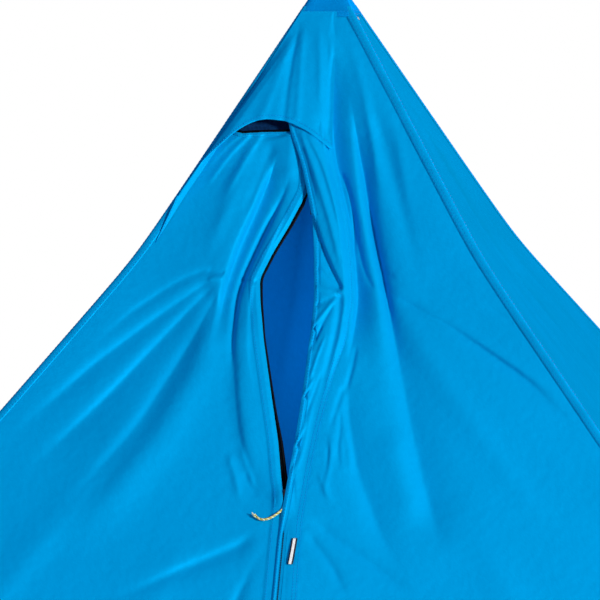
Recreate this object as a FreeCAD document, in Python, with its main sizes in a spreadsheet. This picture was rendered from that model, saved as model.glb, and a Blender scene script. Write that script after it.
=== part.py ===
import FreeCAD, Part, Sketcher
import math
import os

V = FreeCAD.Vector
doc = FreeCAD.newDocument("frame_tent")

# Driving dimensions, in millimetres and degrees. The tent stands on z = 0 with its door facing -Y.
SIZES = {
    # canopy: a square tent whose four walls bend once on the way up to a single peak
    "base_half": 1122, "bend_half": 205, "bend_height": 1140, "top_half": 16, "wall_height": 1450,
    "bend_radius": 1000, "cloth": 1.8, "hem_tall": 14, "hem_thick": 1.2,
    "cap_bottom": 1421, "cap_thick": 1.6, "cup_bottom": 1415, "cup_top": 1449,
    "ridge_tape_half": 7, "ridge_tape_thick": 1.4, "ridge_tape_bottom": 4, "ridge_tape_top": 1405,
    # door: the right half of the front wall folds back about a line near its ridge
    "fold_height": 1095, "fold_reach": 1090, "fold_lift": 11.2,
    "lip": 10, "gape_bottom": 889, "gape_top": 1209, "gape_wide": 54,
    "gape_low": 1092, "gape_high": 1120, "seam_start": 1268,
    # zip: two tapes with a coil on each inner edge
    "tape_over": 16, "coil_near": 1.3, "coil_far": 3.8, "coil_high": 0.77, "tape_back": 3.1,
    "zip_bottom": 20, "zip_top": 1262, "door_zip_bottom": 24,
    "lower_slider": 879, "upper_slider": 1217, "slider_half": 7,
    # storm flap over the zip
    "flap_in": 9, "flap_out": 10.8, "flap_edge": 6, "flap_seam": 24, "web": 2,
    # roof vent: an arched hood over a meshed opening
    "hood_top": 1420, "hood_low": 1150, "hood_cloth": 1.8, "hood_clear_high": 0, "hood_clear_low": 2,
    "hood_right_high": 10, "hood_stand_high": 2.6, "hood_bulge_high": 2,
    "hood_right_low": 26, "hood_stand_low": 27, "hood_bulge_low": 24,
    "vent_bottom": 1284, "vent_top": 1372, "trim_thick": 1.2, "mesh_thick": 0.8,
    # small sewn-on parts
    "patch_thick": 1.5, "patch_half": 12, "patch_out": 85, "patch_height": 1116, "tab_thick": 1.3,
    "loop_long": 40, "loop_wide": 26, "loop_thick": 1.6, "loop_hole_long": 20, "loop_hole_wide": 12,
    # frame: a hub in the peak and two sliding legs
    "pin_out": 15, "pin_height": 1385, "pin_radius": 2.5, "pin_play": 0.05, "foot_out": 720,
    "hub_radius": 12, "hub_ear_half": 3, "hub_ear_out": 24, "hub_ear_low": 1374, "hub_neck": 1400,
    "hub_top": 1442, "cup_play": 0.1, "cheek_gap": 0.4, "cheek": 4, "cheek_half": 7,
    "tube_radius": 9.5, "tube_bore": 8.3, "inner_radius": 8, "inner_bore": 6.8,
    "tube_start": 32, "tube_end": 850, "inner_start": 700, "plug": 62,
    "clamp_radius": 13.5, "clamp_start": 815, "clamp_end": 872, "clamp_play": 0.05,
    "lever_out": 19, "lever_down": 858, "lever_pin": 2, "lever_long": 56,
    "ball": 12, "sleeve": 11, "sleeve_long": 40,
    # pull cord on the lower slider
    "cord_radius": 1.25, "knot_radius": 2.4,
}
dims = doc.addObject("Spreadsheet::Sheet", "dims")
for row, (alias, value) in enumerate(SIZES.items(), 1):
    dims.set("A%d" % row, alias)
    dims.set("B%d" % row, str(value))
    dims.setAlias("B%d" % row, alias)
doc.recompute()

nodes = []  # (object, file name), filled in as the tent's pieces are finished


def num(text):
    """The value of an expression over the spreadsheet."""
    return float(dims.evalExpression(str(text)))


def keep(thing, node):
    """Marks an object as one of the tent's pieces."""
    thing.Label = node
    nodes.append((thing, node))
    return thing


def wall_at(height, out="0"):
    """Half-width of the canopy at a height above the bend, plus an offset."""
    return ("dims.top_half + (dims.bend_half - dims.top_half) * (dims.wall_height - (%s))"
            " / (dims.wall_height - dims.bend_height) + (%s)" % (height, out))


def low_wall_at(height, out="0"):
    """Half-width of the canopy at a height below the bend, plus an offset."""
    return ("dims.bend_half + (dims.base_half - dims.bend_half) * (dims.bend_height - (%s))"
            " / dims.bend_height + (%s)" % (height, out))


def outline(body, plane, loops, lift=None):
    """A sketch of closed loops, each a list of corners (x, y)."""
    sketch = body.newObject("Sketcher::SketchObject", body.Name + "_outline")
    support = [f for f in body.Origin.OriginFeatures if f.Role == plane][0]
    sketch.AttachmentSupport = (support, [""])
    sketch.MapMode = "FlatFace"
    if lift is not None:
        sketch.setExpression("AttachmentOffset.Base.z", lift)
    for loop in loops:
        first, count = sketch.GeometryCount, len(loop)
        at = [V(num(x), num(y), 0) for x, y in loop]
        for i in range(count):
            sketch.addGeometry(Part.LineSegment(at[i], at[(i + 1) % count]), False)
        for i in range(count):
            sketch.addConstraint(Sketcher.Constraint("Coincident", first + i, 2, first + (i + 1) % count, 1))
        for i, (x, y) in enumerate(loop):
            for kind, text, value in (("DistanceX", x, at[i].x), ("DistanceY", y, at[i].y)):
                c = sketch.addConstraint(Sketcher.Constraint(kind, -1, 1, first + i, 1, value))
                sketch.setExpression("Constraints[%d]" % c, str(text))
    return sketch


def pad(body, sketch, length, both=True):
    """Thickens a sketch."""
    solid = body.newObject("PartDesign::Pad", body.Name + "_pad")
    solid.Profile = sketch
    solid.Midplane = both
    solid.setExpression("Length", length)
    doc.recompute()
    return solid


def prism(name, plane, loops, length="2600", both=True):
    """An upright block with a drawn outline, used to cut a layer to shape."""
    body = doc.addObject("PartDesign::Body", name)
    pad(body, outline(body, plane, loops), length, both)
    return body


def layer(name, outer, inner, mitred=False, turn=0):
    """A sheet that follows the front wall, between two offsets measured level from the wall's outer face."""
    body = doc.addObject("PartDesign::Body", name)
    loop = []
    for out in (outer, inner):
        side = [("-(dims.base_half + (%s))" % out, "0"),
                ("-(dims.bend_half + (%s))" % out, "dims.bend_height"),
                ("-(dims.top_half + (%s))" % out, "dims.wall_height")]
        loop += side if out == outer else side[::-1]
    last = pad(body, outline(body, "YZ_Plane", [loop]), "2 * dims.base_half + 60")
    for out in (outer, inner):
        across, up = -num("dims.bend_half + (%s)" % out), num("dims.bend_height")
        edges = ["Edge%d" % i for i, e in enumerate(last.Shape.Edges, 1)
                 if all(abs(v.Point.y - across) < 0.01 and abs(v.Point.z - up) < 0.01 for v in e.Vertexes)]
        bend = body.newObject("PartDesign::Fillet", body.Name + "_bend")
        bend.Base = (last, edges)
        bend.setExpression("Radius", "dims.bend_radius - (%s)" % out)
        doc.recompute()
        last = bend
    if mitred:
        reach = "dims.base_half + 40"
        corners = [[("0", "0"), ("%s" % reach, "-(%s)" % reach), ("%s" % reach, "0")],
                   [("0", "0"), ("-(%s)" % reach, "-(%s)" % reach), ("-(%s)" % reach, "0")]]
        mitre = body.newObject("PartDesign::Pocket", body.Name + "_mitre")
        mitre.Profile = outline(body, "XY_Plane", corners)
        mitre.Midplane = True
        mitre.Length = 3200
        doc.recompute()
    body.Placement = FreeCAD.Placement(V(), FreeCAD.Rotation(V(0, 0, 1), turn))
    return body


def boolean(kind, name, *parts):
    """Part booleans: Common and Cut of two solids, or MultiFuse of several."""
    joined = doc.addObject("Part::" + kind, name)
    if kind == "MultiFuse":
        joined.Shapes = list(parts)
    else:
        joined.Base, joined.Tool = parts
    return joined


def frame(x, y, z, axis=V(0, 0, 1), angle="0", turn=0):
    """A place to build a small assembly: an origin, a tilt, then a turn about the upright axis."""
    tilt = FreeCAD.Rotation(V(0, 0, 1), turn).multiply(FreeCAD.Rotation(axis, num(angle)))
    return FreeCAD.Placement(V(num(x), num(y), num(z)), tilt)


def put(thing, at, x="0", y="0", z="0", turn=None):
    """Stands a primitive at a point of a frame."""
    spin = at.Rotation if turn is None else at.Rotation.multiply(turn)
    thing.Placement = FreeCAD.Placement(at.multVec(V(num(x), num(y), num(z))), spin)
    return thing


def box(name, at, x, y, z):
    """A box between two limits along each axis of a frame."""
    solid = doc.addObject("Part::Box", name)
    for size, (low, high) in (("Length", x), ("Width", y), ("Height", z)):
        solid.setExpression(size, "(%s) - (%s)" % (high, low))
    return put(solid, at, x[0], y[0], z[0])


def rod(name, at, radius, low, high, x="0", y="0", along="z"):
    """A cylinder along one axis of a frame."""
    solid = doc.addObject("Part::Cylinder", name)
    solid.setExpression("Radius", str(radius))
    solid.setExpression("Height", "(%s) - (%s)" % (high, low))
    if along == "z":
        return put(solid, at, x, y, low)
    if along == "y":
        return put(solid, at, x, low, y, FreeCAD.Rotation(V(1, 0, 0), -90))
    return put(solid, at, low, x, y, FreeCAD.Rotation(V(0, 1, 0), 90))


def ball(name, at, radius, x, y, z):
    """A sphere at a point of a frame."""
    solid = doc.addObject("Part::Sphere", name)
    solid.setExpression("Radius", str(radius))
    return put(solid, at, x, y, z)


def taper(name, low, high, low_half, high_half):
    """A square block whose width changes evenly from one height to another."""
    solid = doc.addObject("Part::Wedge", name)
    for edge, text in (("Ymin", low), ("Ymax", high), ("Xmin", "-(%s)" % low_half), ("Xmax", low_half),
                       ("Zmin", "-(%s)" % low_half), ("Zmax", low_half), ("X2min", "-(%s)" % high_half),
                       ("X2max", high_half), ("Z2min", "-(%s)" % high_half), ("Z2max", high_half)):
        solid.setExpression(edge, text)
    solid.Placement = FreeCAD.Placement(V(), FreeCAD.Rotation(V(1, 0, 0), 90))
    return solid


WORLD = FreeCAD.Placement()

# ---- canopy walls ----
keep(layer("back", "0", "-dims.cloth", True, 180), "back_panel")
keep(layer("left", "0", "-dims.cloth", True, -90), "left_panel")
keep(layer("right", "0", "-dims.cloth", True, 90), "right_panel")
front = layer("front", "0", "-dims.cloth", True)

# Everything below and left of the fold line belongs to the swinging half of the door.
door_side = prism("door_side", "XZ_Plane", [[
    ("0", "-5"), ("dims.fold_reach * (1 + 5 / dims.fold_height)", "-5"), ("0", "dims.fold_height")]], "1300", False)


def shared(piece, fixed, swinging):
    """Splits a piece of the front along the fold line into its fixed and its swinging part."""
    keep(boolean("Cut", fixed, piece, door_side), fixed)
    keep(boolean("Common", swinging, piece, door_side), swinging)


def gape(shift):
    """The left lip of the part-open door, from its lower to its upper end, moved sideways."""
    points = [("-dims.lip", "dims.gape_bottom"), ("-0.72 * dims.gape_wide", "dims.gape_low - 48"),
              ("-dims.gape_wide", "dims.gape_low"), ("-dims.gape_wide", "dims.gape_high"),
              ("-0.76 * dims.gape_wide", "dims.gape_high + 28"), ("-0.48 * dims.gape_wide", "dims.gape_high + 57"),
              ("-dims.lip", "dims.gape_top")]
    return [("%s + (%s)" % (x, shift), z) for x, z in points]


vent = [("-88", "dims.vent_bottom - 1"), ("-31", "dims.vent_bottom + 1"), ("-12", "dims.vent_top"),
        ("-50", "dims.vent_top")]
left_outline = ([("-1300", "-5"), ("-dims.lip", "-5")] + gape("0")
                + [("-dims.lip", "dims.seam_start"), ("0", "dims.seam_start"), ("0", "1500"), ("-1300", "1500")])
keep(boolean("Common", "front_left", front, prism("left_half", "XZ_Plane", [left_outline, vent], "1300", False)),
     "front_left_panel")
right_outline = [("dims.lip", "-5"), ("1300", "-5"), ("1300", "1500"), ("0", "1500"), ("0", "dims.seam_start"),
                 ("dims.lip", "dims.seam_start")]
shared(boolean("Common", "front_right", front, prism("right_half", "XZ_Plane", [right_outline], "1300", False)),
       "front_right_panel", "door_panel")

# ---- ridge tapes inside the four corners ----
for turn, corner in ((-45, "fl"), (45, "fr"), (135, "br"), (-135, "bl")):
    body = doc.addObject("PartDesign::Body", "ridge_" + corner)
    loop = []
    for thick in ("0", "dims.ridge_tape_thick"):
        side = []
        for height, wall in (("dims.ridge_tape_bottom", low_wall_at("dims.ridge_tape_bottom")),
                             ("dims.bend_height", "dims.bend_half"),
                             ("dims.ridge_tape_top", wall_at("dims.ridge_tape_top"))):
            reach = "sqrt(2) * (%s - dims.cloth) - dims.ridge_tape_half - 1.2 - %s" % (wall, thick)
            side.append(("-(%s)" % reach, height))
        loop += side if thick == "0" else side[::-1]
    pad(body, outline(body, "YZ_Plane", [loop]), "2 * dims.ridge_tape_half")
    body.Placement = FreeCAD.Placement(V(), FreeCAD.Rotation(V(0, 0, 1), turn))
    keep(body, "ridge_tape_" + corner)

# ---- hem binding round the foot of the walls ----
hem_out = taper("hem_out", "0", "dims.hem_tall", low_wall_at("0", "dims.hem_thick"),
                low_wall_at("dims.hem_tall", "dims.hem_thick"))
hem_in = taper("hem_in", "0", "dims.hem_tall", low_wall_at("0"), low_wall_at("dims.hem_tall"))
hem_ring = boolean("Cut", "hem_ring", hem_out, hem_in)
hem_gap = box("hem_gap", WORLD, ("-dims.lip", "dims.lip"), ("-1300", "-900"), ("-1", "40"))
shared(boolean("Cut", "hem", hem_ring, hem_gap), "hem_binding", "door_hem")

# ---- peak: outer cap, inner cup, hub ----
cap_out = taper("cap_out", "dims.cap_bottom", "dims.wall_height + dims.cap_thick",
                wall_at("dims.cap_bottom", "dims.cap_thick"), "dims.top_half + dims.cap_thick")
cap_in = taper("cap_in", "dims.cap_bottom - 1", "dims.wall_height", wall_at("dims.cap_bottom - 1"), "dims.top_half")
keep(boolean("Cut", "cap", cap_out, cap_in), "peak_cap")
cup_block = taper("cup_block", "dims.cup_bottom", "dims.cup_top", wall_at("dims.cup_bottom", "-dims.cloth"),
                  wall_at("dims.cup_top", "-dims.cloth"))
cup_bore = rod("cup_bore", WORLD, "dims.hub_radius + dims.cup_play", "dims.cup_bottom - 2", "dims.hub_top")
keep(boolean("Cut", "cup", cup_block, cup_bore), "peak_cup")
hub = boolean("MultiFuse", "hub_solid",
              rod("hub_dome", WORLD, "dims.hub_radius", "dims.hub_neck", "dims.hub_top"),
              box("hub_ear", WORLD, ("-dims.hub_ear_out", "dims.hub_ear_out"),
                  ("-dims.hub_ear_half", "dims.hub_ear_half"), ("dims.hub_ear_low", "dims.hub_neck + 2")))
hub_holes = boolean("MultiFuse", "hub_holes",
                    *[rod("hub_hole_" + side, WORLD, "dims.pin_radius + dims.pin_play", "-20", "20",
                          sign + "dims.pin_out", "dims.pin_height", "y") for side, sign in (("l", "-"), ("r", ""))])
keep(boolean("Cut", "hub", hub, hub_holes), "apex_hub")

# ---- roof vent: mesh, trimmed hem and arched hood ----
mesh_layer = layer("mesh_layer", "-dims.cloth", "-dims.cloth - dims.mesh_thick")
mesh_outline = [("-94", "dims.vent_bottom - 6"), ("-25", "dims.vent_bottom - 5"), ("-18", "dims.vent_top - 40"),
                ("-18", "dims.vent_top + 5"), ("-46", "dims.vent_top + 5"), ("-54", "dims.vent_top - 12")]
keep(boolean("Common", "mesh", mesh_layer, prism("mesh_cut", "XZ_Plane", [mesh_outline])), "vent_mesh")
trim_layer = layer("trim_layer", "dims.trim_thick", "0")
trim_outline = [("-117", "dims.vent_bottom - 17"), ("-88", "dims.vent_bottom - 6"), ("-31", "dims.vent_bottom - 4"),
                ("-31", "dims.vent_bottom + 1"), ("-88", "dims.vent_bottom - 1"), ("-113", "dims.vent_bottom - 12")]
keep(boolean("Common", "trim", trim_layer, prism("trim_cut", "XZ_Plane", [trim_outline])), "vent_trim")

hood_body = doc.addObject("PartDesign::Body", "hood_body")
arches = []
for end in ("high", "low"):
    height = "dims.hood_top" if end == "high" else "dims.hood_low"
    right, stand, bulge, clear = ["dims.hood_%s_%s" % (k, end) for k in ("right", "stand", "bulge", "clear")]
    wall, facets = "(%s)" % wall_at(height), 10
    arch = []
    for out in ("dims.hood_cloth", "0"):
        side = []
        for i in range(facets + 1):
            t = i / facets
            side.append(("%g * %s + %g * %s" % (t - 1, wall, t, right),
                         "-%s - (%s) - %s - %g * (%s - dims.hood_cloth) - %g * %s"
                         % (wall, out, clear, t, stand, 4 * t * (1 - t), bulge)))
        arch += side if out != "0" else side[::-1]
    arches.append(outline(hood_body, "XY_Plane", [arch], height))
doc.recompute()
loft = hood_body.newObject("PartDesign::AdditiveLoft", "hood_loft")
loft.Profile = arches[0]
loft.Sections = [arches[1]]
loft.Ruled = True
doc.recompute()
brim = [("-183", "1157"), ("-161", "1210"), ("-148", "1232"), ("-134", "1251"), ("-115", "1270"), ("-95", "1288"),
        ("-78", "1298"), ("-60", "1302"), ("-35", "1299"), ("-11", "1288"), ("19", "1267"), ("60", "1267"),
        ("60", "1500"), ("-300", "1500"), ("-300", "1157")]
keep(boolean("Common", "hood", hood_body, prism("brim_cut", "XZ_Plane", [brim])), "vent_hood")

# ---- zip tapes and coils ----
tape_layer = layer("tape_layer", "-dims.cloth", "-dims.tape_back")
coil_layer = layer("coil_layer", "dims.coil_high", "-dims.cloth")


def left_strip(name, near, far, margin):
    """A strip along the left side of the zip, between two distances from its middle."""
    near_side = [(x, z) for x, z in gape("dims.lip - (%s)" % near)]
    far_side = [(x, z) for x, z in gape("dims.lip - (%s)" % far)]
    loop = ([("-(%s)" % near, "dims.zip_bottom + %s" % margin)] + near_side + [("-(%s)" % near, "dims.zip_top"),
            ("-(%s)" % far, "dims.zip_top")] + far_side[::-1] + [("-(%s)" % far, "dims.zip_bottom + %s" % margin)])
    return prism(name, "XZ_Plane", [loop])


keep(boolean("Common", "left_tape", tape_layer, left_strip("left_tape_cut", "dims.coil_near", "dims.tape_over", "0")),
     "zip_tape_left")
keep(boolean("Common", "left_coil", coil_layer, left_strip("left_coil_cut", "dims.coil_near", "dims.coil_far", "1")),
     "zip_coil_left")

low_tilt = "-atan((dims.base_half - dims.bend_half) / dims.bend_height)"
high_tilt = "-atan((dims.bend_half - dims.top_half) / (dims.wall_height - dims.bend_height))"
low_place = frame("0", "-(%s)" % low_wall_at("dims.lower_slider"), "dims.lower_slider", V(1, 0, 0), low_tilt)
high_place = frame("0", "-(%s)" % wall_at("dims.upper_slider"), "dims.upper_slider", V(1, 0, 0), high_tilt)
notch = box("notch", low_place, ("0.4", "7"), ("-8", "8"), ("-dims.slider_half - 0.6", "dims.slider_half + 0.6"))


def right_strip(name, cloth, far, low, high):
    """A strip along the right side of the zip, notched where the lower slider rests."""
    near = "dims.coil_near"
    cut = prism(name + "_cut", "XZ_Plane", [[(near, low), (far, low), (far, high), (near, high)]])
    return boolean("Cut", name + "_notched", boolean("Common", name, cloth, cut), notch)


shared(right_strip("tape_right", tape_layer, "dims.tape_over", "dims.door_zip_bottom", "dims.zip_top"),
       "zip_tape_right", "door_tape")
shared(right_strip("coil_right", coil_layer, "dims.coil_far", "dims.lower_slider", "dims.zip_top"),
       "zip_coil_right", "door_coil_upper")
keep(right_strip("coil_low", coil_layer, "dims.coil_far", "dims.door_zip_bottom", "dims.lower_slider"), "door_coil")

stop_layer = layer("stop_layer", "dims.coil_high", "-dims.tape_back")
stop = [("-dims.coil_far", "dims.zip_top"), ("dims.coil_far", "dims.zip_top"),
        ("dims.coil_far", "dims.zip_top + 4"), ("-dims.coil_far", "dims.zip_top + 4")]
keep(boolean("Common", "stop", stop_layer, prism("stop_cut", "XZ_Plane", [stop])), "zip_top_stop")
catch = [("-dims.tape_over", "dims.zip_bottom - 9"), ("dims.coil_far", "dims.zip_bottom - 9"),
         ("dims.coil_far", "dims.zip_bottom"), ("-dims.tape_over", "dims.zip_bottom")]
keep(boolean("Common", "catch", tape_layer, prism("catch_cut", "XZ_Plane", [catch])), "zip_bottom_stop")

# ---- sliders: the frame's -Y is outward and its Z runs up the zip ----
H = "dims.slider_half"
for name, at in (("lower", low_place), ("upper", high_place)):
    blocks = [("plate", ("-5.4", "5.4"), ("-2.6", "-1.2"), ("-" + H, H)),
              ("sole", ("-5.4", "5.4"), ("3", "4.4"), ("-" + H, H)),
              ("wing_l", ("-5.4", "-4.4"), ("-1.4", "1.2"), ("-" + H, H)),
              ("wing_r", ("4.4", "5.4"), ("-1.4", "1.2"), ("-" + H, H)),
              ("bail_top", ("-1.5", "1.5"), ("-5.6", "-2.4"), ("3", "4.2")),
              ("bail_low", ("-1.5", "1.5"), ("-5.6", "-2.4"), ("-4.2", "-3")),
              ("bail_bar", ("-1.5", "1.5"), ("-5.6", "-4.8"), ("-4.2", "4.2")),
              ("ring_top", ("-1.5", "1.5"), ("4.2", "7.4"), ("3", "4.2")),
              ("ring_low", ("-1.5", "1.5"), ("4.2", "7.4"), ("-4.2", "-3")),
              ("ring_bar", ("-1.5", "1.5"), ("6.6", "7.4"), ("-4.2", "4.2")),
              ("wedge", ("-0.9", "0.9"), ("-1.4", "3.2"),
               ("1", H) if name == "lower" else ("-" + H, "-1"))]
    keep(boolean("MultiFuse", name + "_slider_solid",
                 *[box("%s_%s" % (name, b[0]), at, *b[1:]) for b in blocks]), name + "_slider")
    grip = boolean("MultiFuse", name + "_grip_solid",
                   box(name + "_grip_bar", at, ("-4", "4"), ("-4.1", "-2.9"), ("-1", "1")),
                   box(name + "_grip_l", at, ("-4", "-2.2"), ("-4.1", "-2.9"), ("-9", "1")),
                   box(name + "_grip_r", at, ("2.2", "4"), ("-4.1", "-2.9"), ("-9", "1")),
                   box(name + "_grip_end", at, ("-4", "4"), ("-4.1", "-2.9"), ("-16", "-8")))
    hole = rod(name + "_grip_hole", at, "1.4", "-6", "-1", "0", "-12.5", "y")
    keep(boolean("Cut", name + "_grip", grip, hole), name + "_outer_pull")
    pivot = FreeCAD.Placement(at.multVec(V(0, 5.5, 0)), FreeCAD.Rotation())
    hang = boolean("MultiFuse", name + "_hang_solid",
                   rod(name + "_hang_bar", pivot, "0.9", "-4", "4", along="x"),
                   box(name + "_hang_l", pivot, ("-4", "-2.2"), ("-0.6", "0.6"), ("-12", "0")),
                   box(name + "_hang_r", pivot, ("2.2", "4"), ("-0.6", "0.6"), ("-12", "0")),
                   box(name + "_hang_end", pivot, ("-4", "4"), ("-0.6", "0.6"), ("-26", "-11")))
    hang_hole = rod(name + "_hang_hole", pivot, "1.6", "-3", "3", "0", "-21", "y")
    keep(boolean("Cut", name + "_hang", hang, hang_hole), name + "_inner_pull")

# ---- storm flap: a cover strip on a low web sewn to the right side of the zip ----
flap_layer = layer("flap_layer", "dims.flap_out", "dims.flap_in")
web_layer = layer("web_layer", "dims.flap_in", "0")
flap_left = [("-31", "1291"), ("-19", "1246"), ("-13", "1211"), ("-2", "1171"), ("dims.flap_edge - 1", "1137"),
             ("dims.flap_edge + 2", "1080"), ("dims.flap_edge", "1003"), ("dims.flap_edge - 3", "900"),
             ("dims.flap_edge", "767"), ("dims.flap_edge", "16")]
flap_right = [("dims.flap_seam", "16"), ("dims.flap_seam + 3", "720"), ("dims.flap_seam + 7", "860"),
              ("dims.flap_seam + 17", "950"), ("54", "1020"), ("56", "1060"), ("52", "1104"), ("41", "1160"),
              ("26", "1217"), ("20", "1291")]
flap_face = boolean("Common", "flap_face", flap_layer, prism("flap_cut", "XZ_Plane", [flap_left + flap_right]))
web_left = [("%s - dims.web" % x, z) for x, z in flap_right]
flap_web = boolean("Common", "flap_web", web_layer, prism("web_cut", "XZ_Plane", [flap_right + web_left[::-1]]))
shared(boolean("MultiFuse", "flap", flap_face, flap_web), "storm_flap_top", "storm_flap")
tab_layer = layer("tab_layer", "dims.flap_out + dims.tab_thick", "dims.flap_out")
tab = [("8", "800"), ("17", "803"), ("20", "833"), ("11", "830")]
keep(boolean("Common", "tab", tab_layer, prism("tab_cut", "XZ_Plane", [tab])), "flap_tab")

# ---- tie-back patches inside the front wall ----
patch_layer = layer("patch_layer", "-dims.cloth", "-dims.cloth - dims.patch_thick")
for side, sign in (("left", "-"), ("right", "")):
    near, far = "dims.patch_out - dims.patch_half", "dims.patch_out + dims.patch_half"
    loop = [("%s(%s)" % (sign, x), "dims.patch_height %s dims.patch_half" % z)
            for x, z in ((near, "-"), (far, "-"), (far, "+"), (near, "+"))]
    keep(boolean("Common", "patch_" + side, patch_layer, prism("patch_cut_" + side, "XZ_Plane", [loop])),
         "tieback_patch_" + side)

# ---- webbing loops at the four corners ----
for turn, corner in ((-135, "fl"), (-45, "fr"), (45, "br"), (135, "bl")):
    at = frame("0", "0", "0", turn=turn)
    start = "sqrt(2) * dims.base_half - 12"
    end = "sqrt(2) * dims.base_half + dims.loop_long"
    plate = box("loop_plate_" + corner, at, (start, end), ("-dims.loop_wide / 2", "dims.loop_wide / 2"),
                ("0", "dims.loop_thick"))
    hole = box("loop_hole_" + corner, at, (end + " - 7 - dims.loop_hole_long", end + " - 7"),
               ("-dims.loop_hole_wide / 2", "dims.loop_hole_wide / 2"), ("-1", "dims.loop_thick + 1"))
    ring = boolean("Cut", "loop_ring_" + corner, plate, hole)
    keep(boolean("Cut", "loop_" + corner, ring, hem_out), "corner_loop_" + corner)

# ---- legs: each frame starts at its hub pin, and the leg runs down its -Z ----
reach, drop = "(dims.foot_out - dims.pin_out)", "(dims.pin_height - dims.ball)"
long = "sqrt(%s * %s + %s * %s)" % (reach, reach, drop, drop)
lean = "-atan(%s / %s)" % (reach, drop)
for side, sign, turn in (("right", "", 0), ("left", "-", 180)):
    at = frame(sign + "dims.pin_out", "0", "dims.pin_height", V(0, 1, 0), lean, turn)
    inner, outer = "dims.hub_ear_half + dims.cheek_gap", "dims.hub_ear_half + dims.cheek_gap + dims.cheek"
    yoke = boolean("MultiFuse", "yoke_solid_" + side,
                   box("cheek_a_" + side, at, ("-dims.cheek_half", "dims.cheek_half"), (inner, outer), ("-24", "8")),
                   box("cheek_b_" + side, at, ("-dims.cheek_half", "dims.cheek_half"),
                       ("-(%s)" % outer, "-(%s)" % inner), ("-24", "8")),
                   rod("collar_" + side, at, "dims.tube_radius", "-dims.tube_start", "-21"),
                   rod("plug_" + side, at, "dims.tube_bore - 0.1", "-dims.plug", "-dims.tube_start + 1"))
    pin_hole = rod("pin_hole_" + side, at, "dims.pin_radius", "-12", "12", along="y")
    keep(boolean("Cut", "yoke_" + side, yoke, pin_hole), "leg_yoke_" + side)
    keep(rod("pin_" + side, at, "dims.pin_radius", "-(%s) - 1" % outer, "%s + 1" % outer, along="y"),
         "hub_pin_" + side)

    tube = rod("tube_skin_" + side, at, "dims.tube_radius", "-dims.tube_end", "-dims.tube_start")
    tube_core = rod("tube_core_" + side, at, "dims.tube_bore", "-dims.tube_end - 1", "-dims.tube_start + 1")
    keep(boolean("Cut", "tube_" + side, tube, tube_core), "upper_tube_" + side)

    ear_in, ear_out = "dims.lever_pin + 0.2", "dims.lever_pin + 4"
    pivot_z = "-dims.lever_down"
    clamp = boolean("MultiFuse", "clamp_solid_" + side,
                    rod("clamp_ring_" + side, at, "dims.clamp_radius", "-dims.clamp_end", "-dims.clamp_start"),
                    box("clamp_ear_a_" + side, at, ("10", "dims.lever_out + 5"), (ear_in, ear_out),
                        (pivot_z + " - 9", pivot_z + " + 9")),
                    box("clamp_ear_b_" + side, at, ("10", "dims.lever_out + 5"), ("-(%s)" % ear_out, "-(%s)" % ear_in),
                        (pivot_z + " - 9", pivot_z + " + 9")))
    clamp_core = boolean("MultiFuse", "clamp_core_" + side,
                         rod("clamp_seat_" + side, at, "dims.tube_radius", "-dims.tube_end", "-dims.clamp_start + 1"),
                         rod("clamp_bore_" + side, at, "dims.inner_radius + dims.clamp_play",
                             "-dims.clamp_end - 1", "-dims.tube_end + 1"),
                         rod("clamp_pin_hole_" + side, at, "dims.lever_pin", "-9", "9",
                             "dims.lever_out", pivot_z, "y"))
    keep(boolean("Cut", "clamp_" + side, clamp, clamp_core), "clamp_body_" + side)
    keep(rod("lever_pin_solid_" + side, at, "dims.lever_pin", "-(%s) - 1" % ear_out, "%s + 1" % ear_out,
             "dims.lever_out", pivot_z, "y"), "lever_pin_" + side)
    lever = boolean("MultiFuse", "lever_solid_" + side,
                    rod("lever_cam_" + side, at, "5", "-1.9", "1.9", "dims.lever_out", pivot_z, "y"),
                    box("lever_neck_" + side, at, ("dims.lever_out - 2.5", "dims.lever_out + 2.5"), ("-1.9", "1.9"),
                        (pivot_z, pivot_z + " + 14")),
                    box("lever_arm_" + side, at, ("dims.lever_out - 2.5", "dims.lever_out + 1.5"), ("-6", "6"),
                        (pivot_z + " + 12", pivot_z + " + dims.lever_long")))
    lever_hole = rod("lever_hole_" + side, at, "dims.lever_pin + dims.pin_play", "-9", "9",
                     "dims.lever_out", pivot_z, "y")
    keep(boolean("Cut", "lever_" + side, lever, lever_hole), "clamp_lever_" + side)

    end = "-(%s) + 6" % long
    shaft = rod("shaft_skin_" + side, at, "dims.inner_radius", end, "-dims.inner_start")
    shaft_core = rod("shaft_core_" + side, at, "dims.inner_bore", end + " - 1", "-dims.inner_start + 1")
    keep(boolean("Cut", "shaft_" + side, shaft, shaft_core), "lower_tube_" + side)
    tip = boolean("MultiFuse", "tip_solid_" + side,
                  ball("tip_ball_" + side, at, "dims.ball", "0", "0", "-(%s)" % long),
                  rod("tip_sleeve_" + side, at, "dims.sleeve", "-(%s)" % long,
                      "-(%s) + dims.sleeve_long" % long))
    tip_core = rod("tip_core_" + side, at, "dims.inner_radius", end, "-(%s) + dims.sleeve_long + 5" % long)
    keep(boolean("Cut", "tip_" + side, tip, tip_core), "foot_tip_" + side)

# ---- pull cord: it leaves the end of the lower slider's outer pull and lies over the left panel ----
ROUTE = [(0, -427.70, 868.73), (0, -430.46, 865.30), (-5.2, -434.1, 861.3), (-12, -436.4, 858.0),
         (-19, -437.2, 856.4), (-26, -436.6, 857.2), (-31, -434.9, 859.6), (-36.5, -432.6, 862.6)]


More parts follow.
